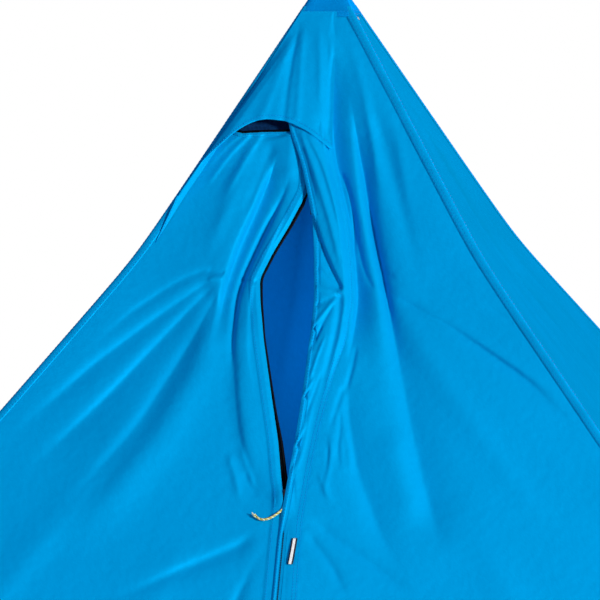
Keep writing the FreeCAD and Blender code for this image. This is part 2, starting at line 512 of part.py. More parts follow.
def rounded(route):
    """Straight runs joined by tangent arcs, each as wide as its two runs allow."""
    edges, at, radii = [], route[0], []
    for a, b, c in zip(route, route[1:], route[2:]):
        come, leave = (b - a).normalize(), (c - b).normalize()
        half = come.getAngle(leave) / 2
        cut = 0.45 * min((b - a).Length, (c - b).Length)
        radius = cut / math.tan(half)
        first, last = b - come * cut, b + leave * cut
        middle = b + (leave - come).normalize() * (radius / math.cos(half) - radius)
        edges += [Part.LineSegment(at, first).toShape(), Part.Arc(first, middle, last).toShape()]
        at = last
        radii.append(radius)
    return edges + [Part.LineSegment(at, route[-1]).toShape()], radii


def swept(name, route, radius):
    """A cord along a route."""
    edges, radii = rounded(route)
    wire = Part.Wire(edges)
    ring = Part.Wire(Part.makeCircle(radius, route[0], route[1] - route[0]))
    solid = doc.addObject("Part::Feature", name)
    solid.Shape = wire.makePipeShell([ring], True, False)
    print(name, "length %.1f" % wire.Length, "radii", ["%.1f" % r for r in radii],
          "volume %.4f of section times length" % (solid.Shape.Volume / (math.pi * radius ** 2 * wire.Length)))
    return solid


cord = keep(swept("cord", [V(*p) for p in ROUTE], num("dims.cord_radius")), "pull_cord")
tail, before = V(*ROUTE[-1]), V(*ROUTE[-2])
knot = keep(doc.addObject("Part::Prism", "knot"), "cord_knot")
knot.Polygon = 8
knot.setExpression("Circumradius", "dims.knot_radius")
knot.setExpression("Height", "1.7 * dims.knot_radius")
knot.Placement = FreeCAD.Placement(tail, FreeCAD.Rotation(V(0, 0, 1), tail - before))

doc.recompute()
os.makedirs("parts", exist_ok=True)
bad = [o.Name for o in doc.Objects if any(s in ("Invalid", "Error", "Touched") for s in o.State)]
assert not bad, "not computed: %s" % bad
assert len({node for _, node in nodes}) == len(nodes), "two pieces share a name"
for thing, node in nodes:
    shape = thing.Shape
    assert not shape.isNull() and shape.isValid() and shape.Volume > 0, "bad shape: " + node
    assert len(shape.Solids) >= 1, "no solid: " + node
    if len(shape.Solids) > 1:
        print("more than one solid:", node, len(shape.Solids))
    shape.exportStep("parts/%s.step" % node)
print(len(nodes), "pieces written")
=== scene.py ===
import bpy
import math
import numpy as np
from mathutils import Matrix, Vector


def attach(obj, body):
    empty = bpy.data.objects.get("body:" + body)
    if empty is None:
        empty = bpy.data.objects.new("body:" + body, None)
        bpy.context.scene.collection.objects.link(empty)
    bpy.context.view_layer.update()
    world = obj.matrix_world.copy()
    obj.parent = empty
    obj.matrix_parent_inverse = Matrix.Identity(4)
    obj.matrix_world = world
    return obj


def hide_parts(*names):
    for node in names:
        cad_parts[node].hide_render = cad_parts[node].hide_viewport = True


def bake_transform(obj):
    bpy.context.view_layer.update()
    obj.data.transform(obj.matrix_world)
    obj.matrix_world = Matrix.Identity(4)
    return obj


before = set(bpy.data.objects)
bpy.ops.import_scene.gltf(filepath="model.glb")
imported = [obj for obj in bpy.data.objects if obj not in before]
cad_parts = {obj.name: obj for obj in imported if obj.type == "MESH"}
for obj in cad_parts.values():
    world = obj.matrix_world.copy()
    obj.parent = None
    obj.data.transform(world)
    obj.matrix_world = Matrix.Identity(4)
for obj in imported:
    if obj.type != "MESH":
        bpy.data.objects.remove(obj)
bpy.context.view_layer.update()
rng = np.random.default_rng(11)

# -------------------- camera

camera = bpy.data.objects.new("camera", bpy.data.cameras.new("camera"))
bpy.context.collection.objects.link(camera)
bpy.context.scene.camera = camera
camera.data.lens, camera.data.sensor_width = 424.4, 36
camera.data.clip_start, camera.data.clip_end = 0.1, 200
azimuth, elevation, distance = math.radians(7.07), math.radians(3.64), 8.56
back = Vector((math.sin(azimuth) * math.cos(elevation), -math.cos(azimuth) * math.cos(elevation),
               math.sin(elevation)))
camera.location = Vector((0, 0, 1.15)) + distance * back
aim = Vector((-0.0362, 0, 1.0752))
camera.rotation_mode = "QUATERNION"
camera.rotation_quaternion = (aim - camera.location).to_track_quat("-Z", "Y")

# -------------------- lines and surfaces

HALF_SIDE, LOW_SLOPE = 1.122, .804386  # half a side of the canopy on the ground, and the slope from there
HIGH_SIDE, HIGH_SLOPE = .900032, .609677  # the same for the steeper slope under the peak, drawn on down
BEND = .0027  # how softly the two slopes meet
TOP = 1.436  # where the walls end, under the peak cap
LEVEL_TOP = 1.2  # the left half's rows are level up to here; above, they bend to its upper edge
ZIP_TOP = 1.262
TAPE_BEHIND, COIL_BEHIND = .0024, .0018  # how far the zip lies behind the cloth
OUT = (0, -.779, .627)  # the way the lower front faces
STITCH_OUT = (0, -.78, .62)


def ease(a, b, v):
    """0 below a, 1 above b, smooth between."""
    t = np.clip((v - a) / (b - a), 0, 1)
    return t * t * (3 - 2 * t)


def wall(z):
    """Half-width of the canopy: two straight slopes joined by a soft bend."""
    low, high = HALF_SIDE - LOW_SLOPE * z, HIGH_SIDE - HIGH_SLOPE * z
    return (low + high + np.sqrt((low - high) ** 2 + 4 * BEND ** 2)) / 2


def measured(p):
    """Distance along a line, at each of its points."""
    return np.r_[0, np.cumsum(np.linalg.norm(np.diff(p, axis=0), axis=1))]


def points_at(p, s, u):
    """Points of a line at distances u along it. s is the distance at each of its own points."""
    return np.stack([np.interp(u, s, axis) for axis in p.T], 1)


def curve(points, step=0.006, rounds=5):
    """Close-set points along a rounded line."""
    p = np.array(points, float)
    s = measured(p)
    q = points_at(p, s, np.linspace(0, s[-1], max(5, int(s[-1] / step))))
    for _ in range(rounds):
        q[1:-1] = (q[:-2] + 2 * q[1:-1] + q[2:]) / 4
    return q


def along(points, z, soft=0.008):
    """x of a line at given heights, its corners rounded. Points are (x, z), from low to high."""
    x, h = np.array(points, float).T
    return sum(np.interp(z + d * soft, h, x) for d in (-1, -.5, 0, .5, 1)) / 5


def fold(x, z, path, high, left, right, start=.15, end=.15, sharp=2.0):
    """Relief of one fold: a ridge (or a valley, if high is negative) along a path, with its own width
    to the left and right of someone going along the path."""
    q = curve(path)
    reach = max(left, right) * (3 if sharp > 1.7 else 6)
    relief = np.zeros(x.shape)
    near = np.where((x > q[:, 0].min() - reach) & (x < q[:, 0].max() + reach)
                    & (z > q[:, 1].min() - reach) & (z < q[:, 1].max() + reach))
    if not len(near[0]):
        return relief
    p = np.stack([x[near], z[near]], 1)
    best, side, place = np.full(len(p), 9.0), np.zeros(len(p)), np.zeros(len(p))
    seg = np.diff(q, axis=0)
    size = np.hypot(seg[:, 0], seg[:, 1])
    before = np.r_[0, np.cumsum(size)]
    for i in range(len(seg)):
        d = p - q[i]
        t = np.clip((d @ seg[i]) / size[i] ** 2, 0, 1)
        off = d - t[:, None] * seg[i]
        r = np.hypot(off[:, 0], off[:, 1])
        new = r < best
        best[new] = r[new]
        side[new] = (seg[i, 0] * d[:, 1] - seg[i, 1] * d[:, 0])[new]
        place[new] = ((before[i] + t * size[i]) / before[-1])[new]
    wide = np.where(side > 0, left, right)
    fade = (ease(0, start, place) if start else 1) * (ease(0, end, 1 - place) if end else 1)
    relief[near] = high * fade * np.exp(-(best / wide) ** sharp)
    return relief


def folds(x, z, table):
    """Relief of a table of folds, whose heights and widths are in millimetres and paths in metres."""
    total = np.zeros(x.shape)
    for path, high, left, right, *more in table:
        total += fold(x, z, path, high / 1000, left / 1000, right / 1000, *more)
    return total


waves = [(rng.uniform(0, math.pi), rng.uniform(38, 130), rng.uniform(0, 6.3)) for _ in range(26)]


def crinkle(x, z):
    """The slight unevenness of thin cloth."""
    total = np.zeros(x.shape)
    for angle, rate, phase in waves:
        total += np.sin(rate * (x * math.cos(angle) + z * math.sin(angle)) + phase) * 38 / rate
    return total / len(waves)


def slack(x, z):
    """Crinkles at two sizes."""
    return .0014 * crinkle(x, z) + .0005 * crinkle(2.7 * x + .4, 1.6 * z)


# lines on the front, as (x, z): from low to high, but the hood's brim from left to right
LIP = [(-.003, 0), (-.0025, .856), (-.0020, .872), (-.0036, .885), (-.0075, .897), (-.015, .938),
       (-.029, .992), (-.043, 1.047), (-.052, 1.088), (-.056, 1.116), (-.043, 1.146), (-.026, 1.177),
       (-.010, 1.211), (-.006, 1.219), (-.006, 1.45)]
FLAP_LEFT = [(-.0045, 0), (-.0045, .836), (-.0015, .860), (.001, .882), (.003, .905), (.007, .949),
             (.010, .998), (.012, 1.048), (.013, 1.092), (.007, 1.154), (.002, 1.188), (-.006, 1.217),
             (-.016, 1.251), (-.032, 1.286), (-.038, 1.31)]
FLAP_RIGHT = [(.025, 0), (.025, .767), (.023, .852), (.027, .906), (.033, .954), (.044, 1.013),
              (.054, 1.048), (.058, 1.093), (.052, 1.135), (.042, 1.183), (.024, 1.240), (.019, 1.263),
              (.016, 1.29), (.014, 1.31)]
BRIM = [(-.183, 1.157), (-.161, 1.210), (-.134, 1.251), (-.115, 1.270), (-.095, 1.288), (-.078, 1.298),
        (-.060, 1.302), (-.035, 1.299), (-.011, 1.288), (.019, 1.266)]


def lip(z):
    """Edge of the left half, along the zip and round the gape."""
    return along(LIP, z, .005)


def flap_left(z):
    """Free edge of the storm flap."""
    return along(FLAP_LEFT, z)


def flap_right(z):
    """Sewn edge of the storm flap."""
    return along(FLAP_RIGHT, z)


def left_top(x):
    """Upper edge of the left half of the front, under the hood."""
    return np.interp(x, [-.13, -.122, -.109, -.1045, -.099, -.090, -.065, -.031, 0],
                     [1.277, 1.281, 1.2885, 1.2895, 1.2855, 1.2835, 1.2850, 1.2857, 1.288])


LEFT_FOLDS = [
    # the long crease beside the gape: the panel falls into it and the lip rises from it
    ([(-.026, 1.240), (-.036, 1.211), (-.047, 1.187), (-.058, 1.162), (-.068, 1.137), (-.076, 1.116),
      (-.081, 1.091), (-.080, 1.036), (-.074, .998)], -6.0, 3.0, 4.0, .35, .35, 1.6),
    ([(-.080, 1.06), (-.072, .997), (-.062, .948), (-.046, .907), (-.029, .881), (-.012, .870)],
     -2.2, 6, 11, .25, .3, 1.4),
    ([(-.072, 1.085), (-.068, 1.035), (-.062, .985), (-.049, .933), (-.033, .893)], 4.6, 24, 12, .2, .3),
    ([(-.044, 1.262), (-.062, 1.205), (-.083, 1.152), (-.096, 1.10), (-.098, 1.05)],
     -6.0, 15, 3.5, .2, .3, 1.3),
    ([(-.056, 1.258), (-.070, 1.205), (-.090, 1.152), (-.103, 1.10), (-.110, 1.02)], 5.5, 7, 55, .2, .35),
    ([(-.080, 1.114), (-.066, 1.1135), (-.057, 1.113)], -1.8, 2, 2, .15, .15, 1.4),
    ([(-.030, 1.196), (-.040, 1.173), (-.052, 1.139), (-.064, 1.114), (-.066, 1.08), (-.060, 1.03),
      (-.047, .98)], 2.0, 3, 9, .1, .4),
    ([(-.026, 1.286), (-.018, 1.255), (-.012, 1.225)], 3.6, 6, 30, .05, .3),
    # creases that run out from the pucker
    ([(-.106, 1.118), (-.133, 1.100), (-.172, 1.072), (-.235, 1.024), (-.341, .930)],
     -3.0, 13, 6, .08, .4, 1.5),
    ([(-.104, 1.112), (-.146, 1.068), (-.219, .986), (-.314, .891)], -3.6, 16, 6, .08, .4, 1.5),
    ([(-.100, 1.106), (-.129, 1.045), (-.180, .955), (-.262, .854)], -3.4, 18, 7, .08, .4, 1.5),
    ([(-.100, 1.088), (-.119, 1.013), (-.152, .947), (-.203, .877), (-.268, .806)], 6.0, 26, 17, .15, .4),
    ([(-.108, 1.130), (-.150, 1.114), (-.205, 1.077), (-.255, 1.03)], -1.6, 8, 4, .1, .5, 1.5),
    ([(-.096, 1.122), (-.108, 1.1265), (-.120, 1.125)], -2.0, 2.4, 2.4, .15, .3, 1.4),
    ([(-.097, 1.117), (-.108, 1.1185), (-.118, 1.115)], 1.4, 2.2, 2.2, .15, .3),
    # wrinkles under the trimmed edge of the vent
    ([(-.091, 1.283), (-.106, 1.272), (-.120, 1.256), (-.135, 1.236)], 2.8, 3, 5, .05, .3),
    ([(-.080, 1.283), (-.100, 1.264), (-.115, 1.243), (-.131, 1.216)], 2.2, 3, 5, .05, .3),
    ([(-.066, 1.284), (-.080, 1.262), (-.098, 1.224), (-.109, 1.199)], 1.8, 4, 7, .05, .4),
    ([(-.110, 1.276), (-.121, 1.262), (-.132, 1.246)], 1.8, 2.5, 4, .05, .3),
    ([(-.072, 1.276), (-.098, 1.205), (-.124, 1.134)], 1.8, 9, 9, .15, .4),
    ([(-.050, 1.276), (-.066, 1.225), (-.085, 1.175)], -1.8, 7, 7, .15, .4),
    # slack below the gape
    ([(-.010, .850), (-.048, .824), (-.115, .797), (-.192, .764)], -3.6, 10, 5, .25, .4, 1.5),
    ([(-.012, .834), (-.027, .806), (-.046, .766), (-.060, .72)], -2.8, 8, 5, .25, .4, 1.6),
    ([(-.016, .79), (-.020, .75), (-.021, .70)], -1.2, 5, 4, .25, .4, 1.6),
    ([(-.073, .925), (-.060, .900), (-.052, .872)], 1.6, 4, 4, .2, .3),
    ([(-.058, .93), (-.046, .906), (-.036, .885)], 1.3, 3, 4, .2, .3),
    ([(-.052, .905), (-.043, .886), (-.030, .876)], -1.2, 4, 4, .2, .3),
    ([(-.135, 1.02), (-.20, .93), (-.30, .80), (-.40, .66), (-.50, .50)], 3.0, 18, 26, .2, .4),
    ([(-.080, .86), (-.16, .74), (-.26, .60), (-.36, .42)], 2.6, 16, 24, .3, .4),
]
RIGHT_FOLDS = [
    # the long crease from the peak: a full lobe on the flap's side, a steep rise on the other
    ([(.036, 1.330), (.050, 1.262), (.059, 1.226), (.0675, 1.188), (.077, 1.152), (.092, 1.106),
      (.106, 1.058), (.124, 1.003)], -9.0, 11, 3.5, .35, .3, 1.4),
    ([(.062, 1.215), (.070, 1.180), (.079, 1.147), (.089, 1.115), (.100, 1.080), (.109, 1.050)],
     -4.0, 3.4, 2.0, .3, .4, 1.3),
    ([(.092, 1.106), (.106, 1.058), (.124, 1.003), (.139, .950), (.160, .886), (.188, .820)],
     -7.0, 28, 12, .3, .2, 1.35),
    ([(.030, 1.31), (.039, 1.274), (.052, 1.210), (.067, 1.150), (.082, 1.10), (.098, 1.04), (.118, .97)],
     3.2, 9, 15, .3, .3),
    ([(.11, .96), (.135, .90), (.160, .845)], 3.0, 12, 20, .3, .3),
    # the groove at the storm flap's sewn edge
    ([(.012, 1.40), (.013, 1.345), (.016, 1.29), (.020, 1.263), (.026, 1.240), (.044, 1.185), (.055, 1.137),
      (.062, 1.093), (.061, 1.05), (.058, 1.013)], -10.0, 22, 2.6, .24, .2, 1.5),
    ([(.060, 1.03), (.063, .970), (.079, .9075), (.112, .840), (.150, .79)], -5.0, 18, 9, .25, .35, 1.35),
    ([(.023, 1.242), (.034, 1.231), (.044, 1.206), (.050, 1.18), (.053, 1.14)], -2.0, 3.5, 2.2, .15, .2, 1.4),
    ([(.046, 1.20), (.056, 1.155), (.068, 1.120), (.082, 1.104)], -1.6, 4, 3, .2, .1, 1.4),
    ([(.086, 1.124), (.096, 1.1185), (.106, 1.120)], -.8, 3.4, 3.4, .15, .3, 1.4),
    ([(.088, 1.116), (.098, 1.1125), (.106, 1.112)], .6, 3.2, 3.2, .15, .3),
    ([(.096, 1.102), (.174, 1.066), (.272, 1.006), (.359, .931)], -3.6, 5, 9, .12, .4, 1.3),
    ([(.110, 1.095), (.198, 1.055), (.308, .993), (.357, .963)], 2.6, 7, 6, .2, .4),
    ([(.206, 1.096), (.256, 1.066), (.312, 1.023)], -2.2, 4, 5, .25, .3, 1.6),
    ([(.104, 1.09), (.16, 1.02), (.235, .93), (.33, .83)], 2.2, 14, 16, .2, .4),
    # long shallow folds from the peak
    ([(.026, 1.409), (.053, 1.333), (.072, 1.252), (.087, 1.172)], 2.0, 7, 6, .2, .4),
    ([(.031, 1.418), (.077, 1.345), (.102, 1.264), (.120, 1.172)], 2.0, 9, 7, .2, .4),
    ([(.037, 1.422), (.107, 1.328), (.139, 1.247), (.152, 1.184)], 1.8, 10, 8, .3, .4),
    ([(.045, 1.36), (.08, 1.28), (.105, 1.20), (.14, 1.10)], -1.8, 9, 9, .3, .4),
    # slack at the foot of the flap
    ([(.026, .857), (.067, .829), (.116, .800), (.165, .769)], -2.8, 7, 5, .2, .4, 1.6),
    ([(.026, .841), (.057, .810), (.085, .768)], -2.2, 5, 4, .2, .4, 1.6),
    ([(.046, .95), (.050, .92), (.043, .895), (.052, .87)], 1.3, 4, 3, .2, .3),
    ([(.056, 1.00), (.050, .975), (.044, .95)], -1.4, 3, 3, .2, .3),
    ([(.066, 1.045), (.064, 1.015), (.056, .985)], -1.6, 2.6, 3, .2, .3),
    ([(.052, .975), (.058, .955), (.054, .93), (.062, .905)], -1.4, 2.4, 3, .2, .3),
    ([(.044, .935), (.048, .915), (.044, .895)], -1.1, 2, 2.4, .2, .3),
    ([(.060, .955), (.070, .93), (.074, .90)], 1.2, 3, 3, .2, .3),
    ([(.036, .905), (.044, .885), (.058, .872)], 1.1, 2.6, 2.6, .2, .3),
    ([(.20, .86), (.28, .76), (.40, .60), (.52, .44)], 2.8, 18, 26, .2, .4),
    ([(.06, .80), (.12, .68), (.22, .52), (.34, .34)], 2.6, 18, 24, .3, .4),
]
FLAP_FOLDS = [
    ([(-.022, 1.293), (.000, 1.245), (.022, 1.190), (.036, 1.150), (.046, 1.118)], 2.0, 6, 4, .1, .25),
    ([(-.012, 1.287), (.010, 1.250), (.026, 1.210), (.043, 1.160)], 1.8, 5, 3, .1, .3),
    ([(.002, 1.280), (.016, 1.255), (.030, 1.215)], -1.6, 2.5, 3, .1, .3),
    ([(-.018, 1.27), (-.004, 1.235), (.008, 1.20)], -1.2, 2.5, 3, .1, .3),
    ([(.000, 1.192), (.008, 1.172), (.018, 1.149), (.031, 1.126), (.045, 1.104)], -5.0, 2.4, 7, .1, .06, 1.3),
    ([(.013, 1.132), (.028, 1.116), (.043, 1.103)], -1.4, 2, 2, .1, .1, 1.5),
    ([(.013, 1.108), (.028, 1.106), (.043, 1.1015)], 1.4, 2.2, 2.2, .1, .1),
    ([(.014, 1.086), (.028, 1.094), (.042, 1.100)], -1.6, 2, 2.2, .1, .1, 1.5),
    ([(.012, 1.060), (.024, 1.078), (.041, 1.098)], 1.6, 2.2, 2.2, .1, .1),
    ([(.012, 1.035), (.022, 1.060), (.039, 1.096)], -1.2, 2, 2, .1, .2, 1.6),
    ([(.008, .985), (.016, .995), (.022, 1.008)], 1.2, 2, 2, .1, .2),
    ([(.004, .930), (.012, .942), (.018, .960)], 1.2, 2, 2, .1, .2),
    ([(.003, .905), (.009, .915), (.013, .93)], -1.0, 2, 2, .1, .2),
    ([(.011, .905), (.018, .930), (.020, .955), (.024, .985)], 1.3, 2.5, 2.5, .2, .3),
    ([(.014, .960), (.023, .990), (.031, 1.018)], -1.2, 2, 2.5, .2, .3),
    ([(.016, 1.002), (.022, 1.030), (.032, 1.060)], 1.2, 2.2, 2, .2, .3),
    ([(.017, 1.046), (.026, 1.068)], -1.0, 1.6, 1.8, .2, .3),
    ([(.008, .900), (.012, .880), (.014, .862)], -1.0, 2, 2, .2, .3),
    ([(.042, 1.103), (.044, 1.075), (.040, 1.045), (.034, 1.01), (.028, .96)], -2.8, 5, 4, .05, .4),
    ([(.052, 1.100), (.053, 1.070), (.048, 1.035)], 1.2, 3, 3, .1, .4),
]


def left_relief(x, z):
    """How far the left half of the front stands out, level from its wall."""
    t = np.clip((wall(z) + x) / (wall(z) + .001), 0, 1)
    billow = .006 * t * ease(.85, 1.0, z) - .004 * np.sin(t * math.pi) * ease(0, .3, z)
    edge = lip(z) - x
    hem = .0011 * ease(.0125, .0105, edge) - .0030 * ease(.0045, -.0005, edge) * ease(.87, .90, z)
    swell = .0062 * np.exp(-((x + .003) / .011) ** 2 - ((z - .876) / .0125) ** 2)
    calm = ((1 - .8 * ease(.05, .025, np.abs(x)) * ease(.875, .85, z))
            * (1 - .85 * ease(.034, .014, np.abs(x)) * ease(1.185, 1.215, z)))
    return ((1.5 * folds(x, z, LEFT_FOLDS) + billow + slack(x, z)) * ease(0, .06, wall(z) + x) * calm
            * ease(0, .08, z) + hem + swell)


def right_relief(x, z):
    """How far the right half of the front stands out, level from its wall."""
    t = np.clip((wall(z) - x) / (wall(z) + .001), 0, 1)
    billow = -.004 * np.sin(t * math.pi) * ease(0, .3, z)
    near_peak = ease(1.27, 1.31, z) * ease(1.43, 1.38, z)
    beside = .006 * np.exp(-(np.maximum(x - .015, 0) / .09) ** 2) * near_peak * ease(0, .05, wall(z) - x)
    beside += .0045 * np.exp(-(np.maximum(x - .02, 0) / .075) ** 2) * ease(1.10, .95, z)
    calm = 1 - .75 * ease(.03, .015, np.abs(x)) * ease(.86, .83, z)
    return ((1.5 * folds(x, z, RIGHT_FOLDS) + billow + slack(x, z)) * ease(0, .06, wall(z) - x) * calm
            + beside) * ease(0, .08, z)


def flap_relief(x, z):
    """How far the storm flap stands out. Its left edge is free and its right edge is sewn down."""
    a, b = flap_left(z), flap_right(z)
    u = np.clip((x - a) / (b - a), 0, 1)
    upper = ease(.96, 1.06, z)
    free = .0031 + .0059 * ease(.835, .88, z)
    sewn = right_relief(b, z) + .0012
    drop = (1 - upper) * ease(.12, .75, u) + upper * ease(.78, 1.0, u)
    crown = .0022 * upper * np.sin(math.pi * u)
    edge = .0009 * ease(.0048, .0036, x - a) - (.0012 + .0022 * ease(.87, .84, z)) * ease(.0024, 0, x - a)
    puckers = 1.6 * folds(x, z, FLAP_FOLDS) * (1 - drop)
    return free + (sewn - free) * drop + crown + edge + puckers + .0004 * crinkle(x, z)


def level(rows, count):
    """Heights of a grid whose rows are level."""
    return np.broadcast_to(rows[:, None], (len(rows), count))


def front(x, z, out):
    """A point of the front, a given distance level out from its wall."""
    return np.stack([x, -(wall(z) + out), z], -1)


# -------------------- meshes


def unit(v):
    """Vectors made one long."""
    return v / np.maximum(np.linalg.norm(v, axis=-1, keepdims=True), 1e-12)


def roll(p, edge, radius=.0010, under=.006):
    """Turns one edge of a sheet under, as a sewn hem does."""
    turns = {"right": lambda g: g, "left": lambda g: g[:, ::-1], "top": lambda g: g.transpose(1, 0, 2),
             "low": lambda g: g.transpose(1, 0, 2)[:, ::-1]}
    backs = {"right": lambda g: g, "left": lambda g: g[:, ::-1], "top": lambda g: g.transpose(1, 0, 2),
             "low": lambda g: g[:, ::-1].transpose(1, 0, 2)}
    q = turns[edge](p)
    rim, inner = q[:, -1], q[:, -2]
    away = unit(rim - inner)
    normal = unit(np.cross(away, unit(np.gradient(rim, axis=0))))
    normal *= np.where((normal @ np.array((0, -1, .7))) < 0, -1, 1)[:, None]
    more = [rim + radius * (math.sin(a) * away - (1 - math.cos(a)) * normal)
            for a in np.radians((35, 70, 110, 145, 180))]
    more += [rim - f * under * away - 2 * radius * normal for f in (.4, 1)]
    return backs[edge](np.concatenate([q, np.stack(more, 1)], 1))


def piece(name, points, faces, material):
    """A mesh object from points and faces."""
    mesh = bpy.data.meshes.new(name)
    mesh.from_pydata(np.asarray(points).reshape(-1, 3).tolist(), [], faces)
    mesh.polygons.foreach_set("use_smooth", [True] * len(mesh.polygons))
    mesh.materials.append(material)
    mesh.update()
    thing = bpy.data.objects.new(name, mesh)
    bpy.context.collection.objects.link(thing)
    return thing


def quads(rows, cols, wrap=False, flip=False):
    """Faces of a grid of points."""
    made = []
    for i in range(rows - 1):
        for j in range(cols if wrap else cols - 1):
            here, beside = i * cols + j, i * cols + (j + 1) % cols
            face = (here, beside, beside + cols, here + cols)
            made.append(face[::-1] if flip else face)
    return made


def grid(name, p, material, flip=False):
    """A sheet from a grid of points."""
    return piece(name, p, quads(p.shape[0], p.shape[1], flip=flip), material)


def join(name, things, material):
    """Several lists of (points, faces) as one mesh."""
    points, faces = [], []
    for p, f in things:
        at = sum(len(q) for q in points)
        points.append(np.asarray(p).reshape(-1, 3))
        faces += [tuple(i + at for i in face) for face in f]
    return piece(name, np.concatenate(points), faces, material)


def seam(line, normal, pitch=.0042, long=.0028, thick=.00034):
    """A row of stitches along a line of points: (points, faces)."""
    line = np.asarray(line, float)
    s = measured(line)
    at = np.arange(pitch / 2, s[-1], pitch)
    mid = points_at(line, s, at)
    way = unit(points_at(line, s, at + pitch / 8) - mid + 1e-9)
    up = unit(np.broadcast_to(np.asarray(normal, float), mid.shape))
    side = unit(np.cross(way, up))
    ring = [mid - way * long / 2 - up * thick]
    for f in (-.28, .28):
        c = mid + way * long * f
        ring += [c + side * thick, c + up * thick * 1.1, c - side * thick, c - up * thick]
    ring.append(mid + way * long / 2 - up * thick)
    points = np.stack(ring, 1)
    one = [(0, 2, 1), (0, 3, 2), (0, 4, 3), (0, 1, 4), (9, 5, 6), (9, 6, 7), (9, 7, 8), (9, 8, 5),
           (1, 2, 6, 5), (2, 3, 7, 6), (3, 4, 8, 7), (4, 1, 5, 8)]
    return points.reshape(-1, 3), [tuple(10 * i + k for k in f) for i in range(len(mid)) for f in one]


def tube(line, radius):
    """A tube with closed ends along a line of points: (points, faces)."""
    sides = 8
    line = np.asarray(line, float)
    way = unit(np.gradient(line, axis=0))
    side = unit(np.cross(way[0], (.3, .1, 1)))
    a = np.arange(sides) * 2 * math.pi / sides
    rings = []
    for p, w in zip(line, way):
        side = unit(side - w * (side @ w))
        other = np.cross(w, side)
        rings.append(p + radius * (np.cos(a)[:, None] * side + np.sin(a)[:, None] * other))
    tips = [line[:1] - way[:1] * radius * .5, line[-1:] + way[-1:] * radius * .5]
    faces = quads(len(line), sides, wrap=True)
    n = len(line) * sides
    faces += [(n, (j + 1) % sides, j) for j in range(sides)]
    faces += [(n + 1, n - sides + j, n - sides + (j + 1) % sides) for j in range(sides)]
    return np.concatenate(rings + tips), faces


# -------------------- materials


def noise(t, where, scale, detail=3):
    """Cloudy values about a half."""
    n = t.nodes.new("ShaderNodeTexNoise")
    n.inputs["Scale"].default_value, n.inputs["Detail"].default_value = scale, detail
    n.inputs["Roughness"].default_value = .5
    t.links.new(where, n.inputs["Vector"])
    return n.outputs["Fac"]


def remap(t, value, low, high, a=0.3, b=0.7):
    """Stretches values from a..b to low..high."""
    n = t.nodes.new("ShaderNodeMapRange")
    for key, v in (("From Min", a), ("From Max", b), ("To Min", low), ("To Max", high)):
        n.inputs[key].default_value = v
    t.links.new(value, n.inputs["Value"])
    return n.outputs["Result"]


def sums(t, kind, a, b):
    """Adds or multiplies two values."""
    n = t.nodes.new("ShaderNodeMath")
    n.operation = kind
    for i, v in enumerate((a, b)):
        if hasattr(v, "node"):
            t.links.new(v, n.inputs[i])
        else:
            n.inputs[i].default_value = v
    return n.outputs[0]


def weave(t, where, pitch):
    """Crossing threads: height of a plain weave."""
    out = []
    for direction in ("X", "Z"):
        w = t.nodes.new("ShaderNodeTexWave")
        w.bands_direction = direction
        w.inputs["Scale"].default_value = math.pi / (10 * pitch)
        t.links.new(where, w.inputs["Vector"])
        out.append(w.outputs["Fac"])
    return sums(t, "ADD", *out)


def shade(t, bsdf, color, value):
    """Base colour, made lighter or darker by a value about 1."""
    n = t.nodes.new("ShaderNodeMix")
    n.data_type, n.blend_type = "RGBA", "MULTIPLY"
    n.inputs["Factor"].default_value = 1
    n.inputs["A"].default_value = (*color, 1)
    grey = t.nodes.new("ShaderNodeCombineColor")
    for i in range(3):
        t.links.new(value, grey.inputs[i])
    t.links.new(grey.outputs[0], n.inputs["B"])
    t.links.new(n.outputs["Result"], bsdf.inputs["Base Color"])


def bump(t, bsdf, height, distance):
    """Fine relief in the surface."""
    n = t.nodes.new("ShaderNodeBump")
    n.inputs["Distance"].default_value, n.inputs["Strength"].default_value = distance, 1
    t.links.new(height, n.inputs["Height"])
    t.links.new(n.outputs["Normal"], bsdf.inputs["Normal"])


def make(name, color, rough, metal=0.0, gloss=.3, tint=None, marks=(60, .06), weave_pitch=None,
         weave_deep=.00008, grain=(700, .00005), rough_range=.08, sheen=0.0):
    """A finish: colour with soft mottling, uneven gloss, and a fine weave or grain in its surface. marks and
    grain are (how close, how strong)."""
    m = bpy.data.materials.new(name)
    m.use_nodes = True
    t = m.node_tree
    bsdf = t.nodes["Principled BSDF"]
    where = t.nodes.new("ShaderNodeTexCoord").outputs["Object"]
    cloud = noise(t, where, marks[0], 4)
    value = remap(t, cloud, 1 - marks[1], 1 + marks[1])
    height = noise(t, where, grain[0], 3)
    bsdf.inputs["Metallic"].default_value = metal
    bsdf.inputs["Specular IOR Level"].default_value = gloss
    if tint:
        bsdf.inputs["Specular Tint"].default_value = (*tint, 1)
    if sheen:
        bsdf.inputs["Sheen Weight"].default_value = sheen
        bsdf.inputs["Sheen Roughness"].default_value = .4
    t.links.new(remap(t, noise(t, where, marks[0] * 2.3, 3), rough - rough_range, rough + rough_range),
                bsdf.inputs["Roughness"])
    if weave_pitch:
        threads = weave(t, where, weave_pitch)
        value = sums(t, "MULTIPLY", value, remap(t, threads, .90, 1.04, 0, 2))
        height = sums(t, "ADD", sums(t, "MULTIPLY", threads, weave_deep / grain[1]), height)
    shade(t, bsdf, color, value)
    bump(t, bsdf, height, grain[1])
    return m


def nylon(name, color, rough, marks, grain, weave_pitch=.0011, weave_deep=.00003, rough_range=.08):
    """Coated tent cloth, with the soft metallic look of its coating."""
    return make(name, color, rough, metal=.16, gloss=0, tint=(0, .55, .95), marks=marks,
                weave_pitch=weave_pitch, weave_deep=weave_deep, grain=grain, rough_range=rough_range)


